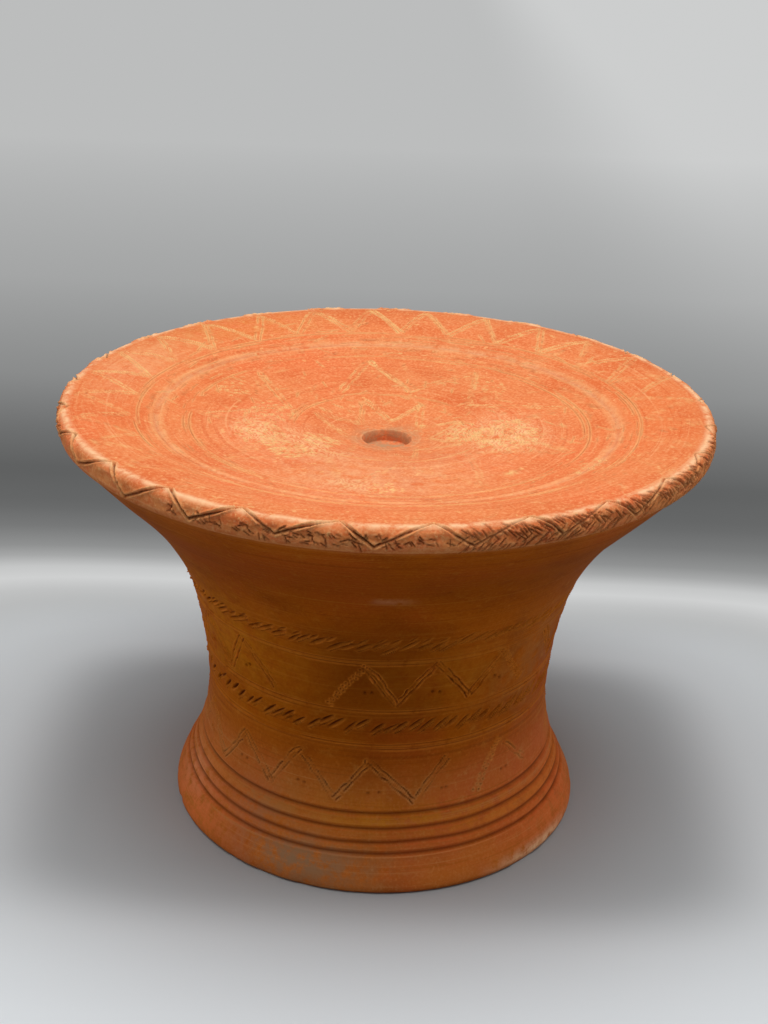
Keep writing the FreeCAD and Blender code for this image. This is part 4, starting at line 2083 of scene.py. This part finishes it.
@dataclass(frozen=True)
class Studio:
    """Floor, soft light from above, and the camera.

    Light meets the floor as one pale tone. The camera sees it with painted light and shade graded by
    distance: brighter beside, behind and in front of the drum than by its foot, a bright band and then a
    dark band further back, and brighter far to the right.

    Attributes:
        floor_paper: The floor's colour, as light meets it.
        painted_side_light: Its colour beside and behind the drum, to the camera: painted light, brighter
            than by the foot.
        painted_front_light: Its colour in front, to the camera: a painted pool of light.
        sweep: Painted light and shade that the camera sees, as greys 0 to 255 at distances from the middle
            in metres: a bright band and then a dark band beside and behind the drum.
        painted_right_light: How much brighter the sweep is far to the right, as painted light.
        right_span: Where that lift starts and ends, in metres to the right.
        stretch: Weights of the distances across and deep.
        squareness: Power that makes a distance's rings square with round corners.
        front_span: Where the front paper starts and takes over, in metres in front.
        side_span: Where the side paper starts and takes over, in metres from the middle.
        sweep_span: Where the sweep starts and takes over, in metres from the middle.
        wall_grey: What the camera sees beyond the floor.
        side_power: Power that holds the sky's light to the sides.
    """

    floor_radius: float = 7.0
    floor_paper: Colour = srgb(180, 184, 186)
    painted_side_light: Colour = srgb(214, 218, 220)
    painted_front_light: Colour = srgb(230, 235, 238)
    painted_right_light: float = 0.21
    right_span: Point = (0.18, 0.50)
    stretch: Point = (0.7, 1.0)
    squareness: float = 6.0
    front_span: Point = (0.075, 0.19)
    side_span: Point = (0.10, 0.14)
    sweep_span: Point = (0.155, 0.20)
    wall_grey: Colour = srgb(190, 191, 192)
    side_power: float = 4.0
    sweep: tuple[tuple[float, int], ...] = (
        (0.16, 176), (0.185, 182), (0.207, 194), (0.226, 214), (0.243, 176), (0.262, 146), (0.295, 120),
        (0.335, 102), (0.40, 95), (0.49, 112), (0.62, 138), (0.95, 164), (1.8, 188), (4.0, 188),
    )
    camera_place: tuple[float, float, float] = (0.0, -0.675, 0.438)
    pitch: float = 23.33
    roll: float = 2.11
    lens: float = 54.07
    sky: float = 0.06
    side_sky: float = 0.95
    lamp_power: float = 20.5
    lamp_size: float = 1.6
    lamp_place: tuple[float, float, float] = (0.0, -0.2, 1.5)

    def build(self) -> None:
        """Make the floor, the lights and the camera."""
        self._floor()
        self._lights()
        self._camera()

    def _floor(self) -> None:
        """Lay the floor, flat to the light, with painted light and shade that only the camera sees."""
        sheet = bmesh.new()
        bmesh.ops.create_circle(sheet, cap_ends=True, segments=96, radius=self.floor_radius)
        mesh = bpy.data.meshes.new("floor")
        sheet.to_mesh(mesh)
        sheet.free()
        floor = bpy.data.objects.new("floor", mesh)
        bpy.context.scene.collection.objects.link(floor)
        graph = Graph("floor_paper")
        place = graph.tree.nodes.new("ShaderNodeTexCoord").outputs["Object"]
        parts = graph.add("ShaderNodeSeparateXYZ", Vector=place)
        powers = []
        for way, share in zip((parts.outputs[0], parts.outputs[1]), self.stretch):
            size = graph.maths("ABSOLUTE", graph.maths("MULTIPLY", way, share))
            powers.append(graph.maths("POWER", size, self.squareness))
        away = graph.maths("POWER", graph.maths("ADD", *powers), 1.0 / self.squareness)
        seen = graph.tree.nodes.new("ShaderNodeLightPath").outputs["Is Camera Ray"]
        front = graph.grade(graph.maths("MULTIPLY", parts.outputs[1], -1.0), *self.front_span)
        side = graph.maths("MULTIPLY", seen, graph.grade(away, *self.side_span))
        # Painted light: away from the foot the camera sees the floor brighter.
        plain = graph.blend(side, self.floor_paper, self.painted_side_light)
        far = graph.maths("MULTIPLY", seen, graph.maths("SUBTRACT", 1.0, front))
        # Painted pool of light in front of the drum.
        paper = graph.blend(graph.maths("MULTIPLY", front, seen), plain, self.painted_front_light)
        shader = graph.add("ShaderNodeBsdfPrincipled", Base_Color=paper, Roughness=0.85)
        shader.inputs["Specular IOR Level"].default_value = 0.1
        # Painted light and shade of the sweep, glowing for the camera only and brighter far to the right.
        lift = graph.maths("ADD", 1.0, graph.grade(parts.outputs[0], *self.right_span, self.painted_right_light))
        painted_far_floor = graph.add("ShaderNodeEmission", Color=graph.ramp(away, self.sweep), Strength=lift)
        mixed = graph.add("ShaderNodeMixShader")
        graph.put(mixed.inputs[0], graph.maths("MULTIPLY", far, graph.grade(away, *self.sweep_span)))
        graph.put(mixed.inputs[1], shader.outputs[0])
        graph.put(mixed.inputs[2], painted_far_floor.outputs[0])
        graph.add("ShaderNodeOutputMaterial", Surface=mixed.outputs[0])
        mesh.materials.append(graph.material)

    def _lights(self) -> None:
        """Hang a wide soft lamp over a dim sky."""
        world = bpy.data.worlds.new("studio")
        world.use_nodes = True
        tree = world.node_tree
        tree.nodes.clear()
        way = tree.nodes.new("ShaderNodeTexCoord")
        split = tree.nodes.new("ShaderNodeSeparateXYZ")
        tree.links.new(way.outputs["Generated"], split.inputs[0])
        aside = tree.nodes.new("ShaderNodeMath")
        aside.operation = "POWER"
        tree.links.new(split.outputs["X"], aside.inputs[0])
        aside.inputs[1].default_value = self.side_power
        level = tree.nodes.new("ShaderNodeMath")
        level.operation = "MULTIPLY_ADD"
        tree.links.new(aside.outputs[0], level.inputs[0])
        level.inputs[1].default_value = self.side_sky
        level.inputs[2].default_value = self.sky
        sky = tree.nodes.new("ShaderNodeBackground")
        sky.inputs["Color"].default_value = (0.97, 0.98, 1.0, 1.0)
        tree.links.new(level.outputs[0], sky.inputs["Strength"])
        wall = tree.nodes.new("ShaderNodeBackground")
        wall.inputs["Color"].default_value = (*self.wall_grey, 1.0)
        seen = tree.nodes.new("ShaderNodeLightPath")
        mixed = tree.nodes.new("ShaderNodeMixShader")
        tree.links.new(seen.outputs["Is Camera Ray"], mixed.inputs[0])
        tree.links.new(sky.outputs[0], mixed.inputs[1])
        tree.links.new(wall.outputs[0], mixed.inputs[2])
        output = tree.nodes.new("ShaderNodeOutputWorld")
        tree.links.new(mixed.outputs[0], output.inputs["Surface"])
        bpy.context.scene.world = world
        lamp = bpy.data.lights.new("softbox", "AREA")
        lamp.shape = "DISK"
        lamp.size = self.lamp_size
        lamp.energy = self.lamp_power
        holder = bpy.data.objects.new("softbox", lamp)
        holder.location = self.lamp_place
        bpy.context.scene.collection.objects.link(holder)

    def _camera(self) -> None:
        """Set the camera where the drum is seen from above its front."""
        data = bpy.data.cameras.new("camera")
        data.lens = self.lens
        data.sensor_width = 36.0
        data.sensor_fit = "AUTO"
        data.clip_start, data.clip_end = 0.02, 40.0
        camera = bpy.data.objects.new("camera", data)
        pitch, roll = math.radians(self.pitch), math.radians(self.roll)
        forward = Vector((0.0, math.cos(pitch), -math.sin(pitch)))
        level = Vector((1.0, 0.0, 0.0))
        upright = level.cross(forward)
        right = level * math.cos(roll) + upright * math.sin(roll)
        up = upright * math.cos(roll) - level * math.sin(roll)
        turn = Matrix((right, up, -forward)).transposed().to_4x4()
        camera.matrix_world = Matrix.Translation(Vector(self.camera_place)) @ turn
        bpy.context.scene.collection.objects.link(camera)
        bpy.context.scene.camera = camera
        bpy.context.scene.view_settings.view_transform = "Standard"


def note_sizes() -> None:
    """Bring the scene up to date once every piece is placed."""
    bpy.context.view_layer.update()


def main() -> None:
    """Build the drum and its studio, in order."""
    logging.basicConfig(level=logging.INFO, format="%(name)s: %(message)s")
    pieces = Drum().build()
    LOG.info("%d pieces", len(pieces))
    Studio().build()
    note_sizes()


if __name__ == "__main__":
    main()
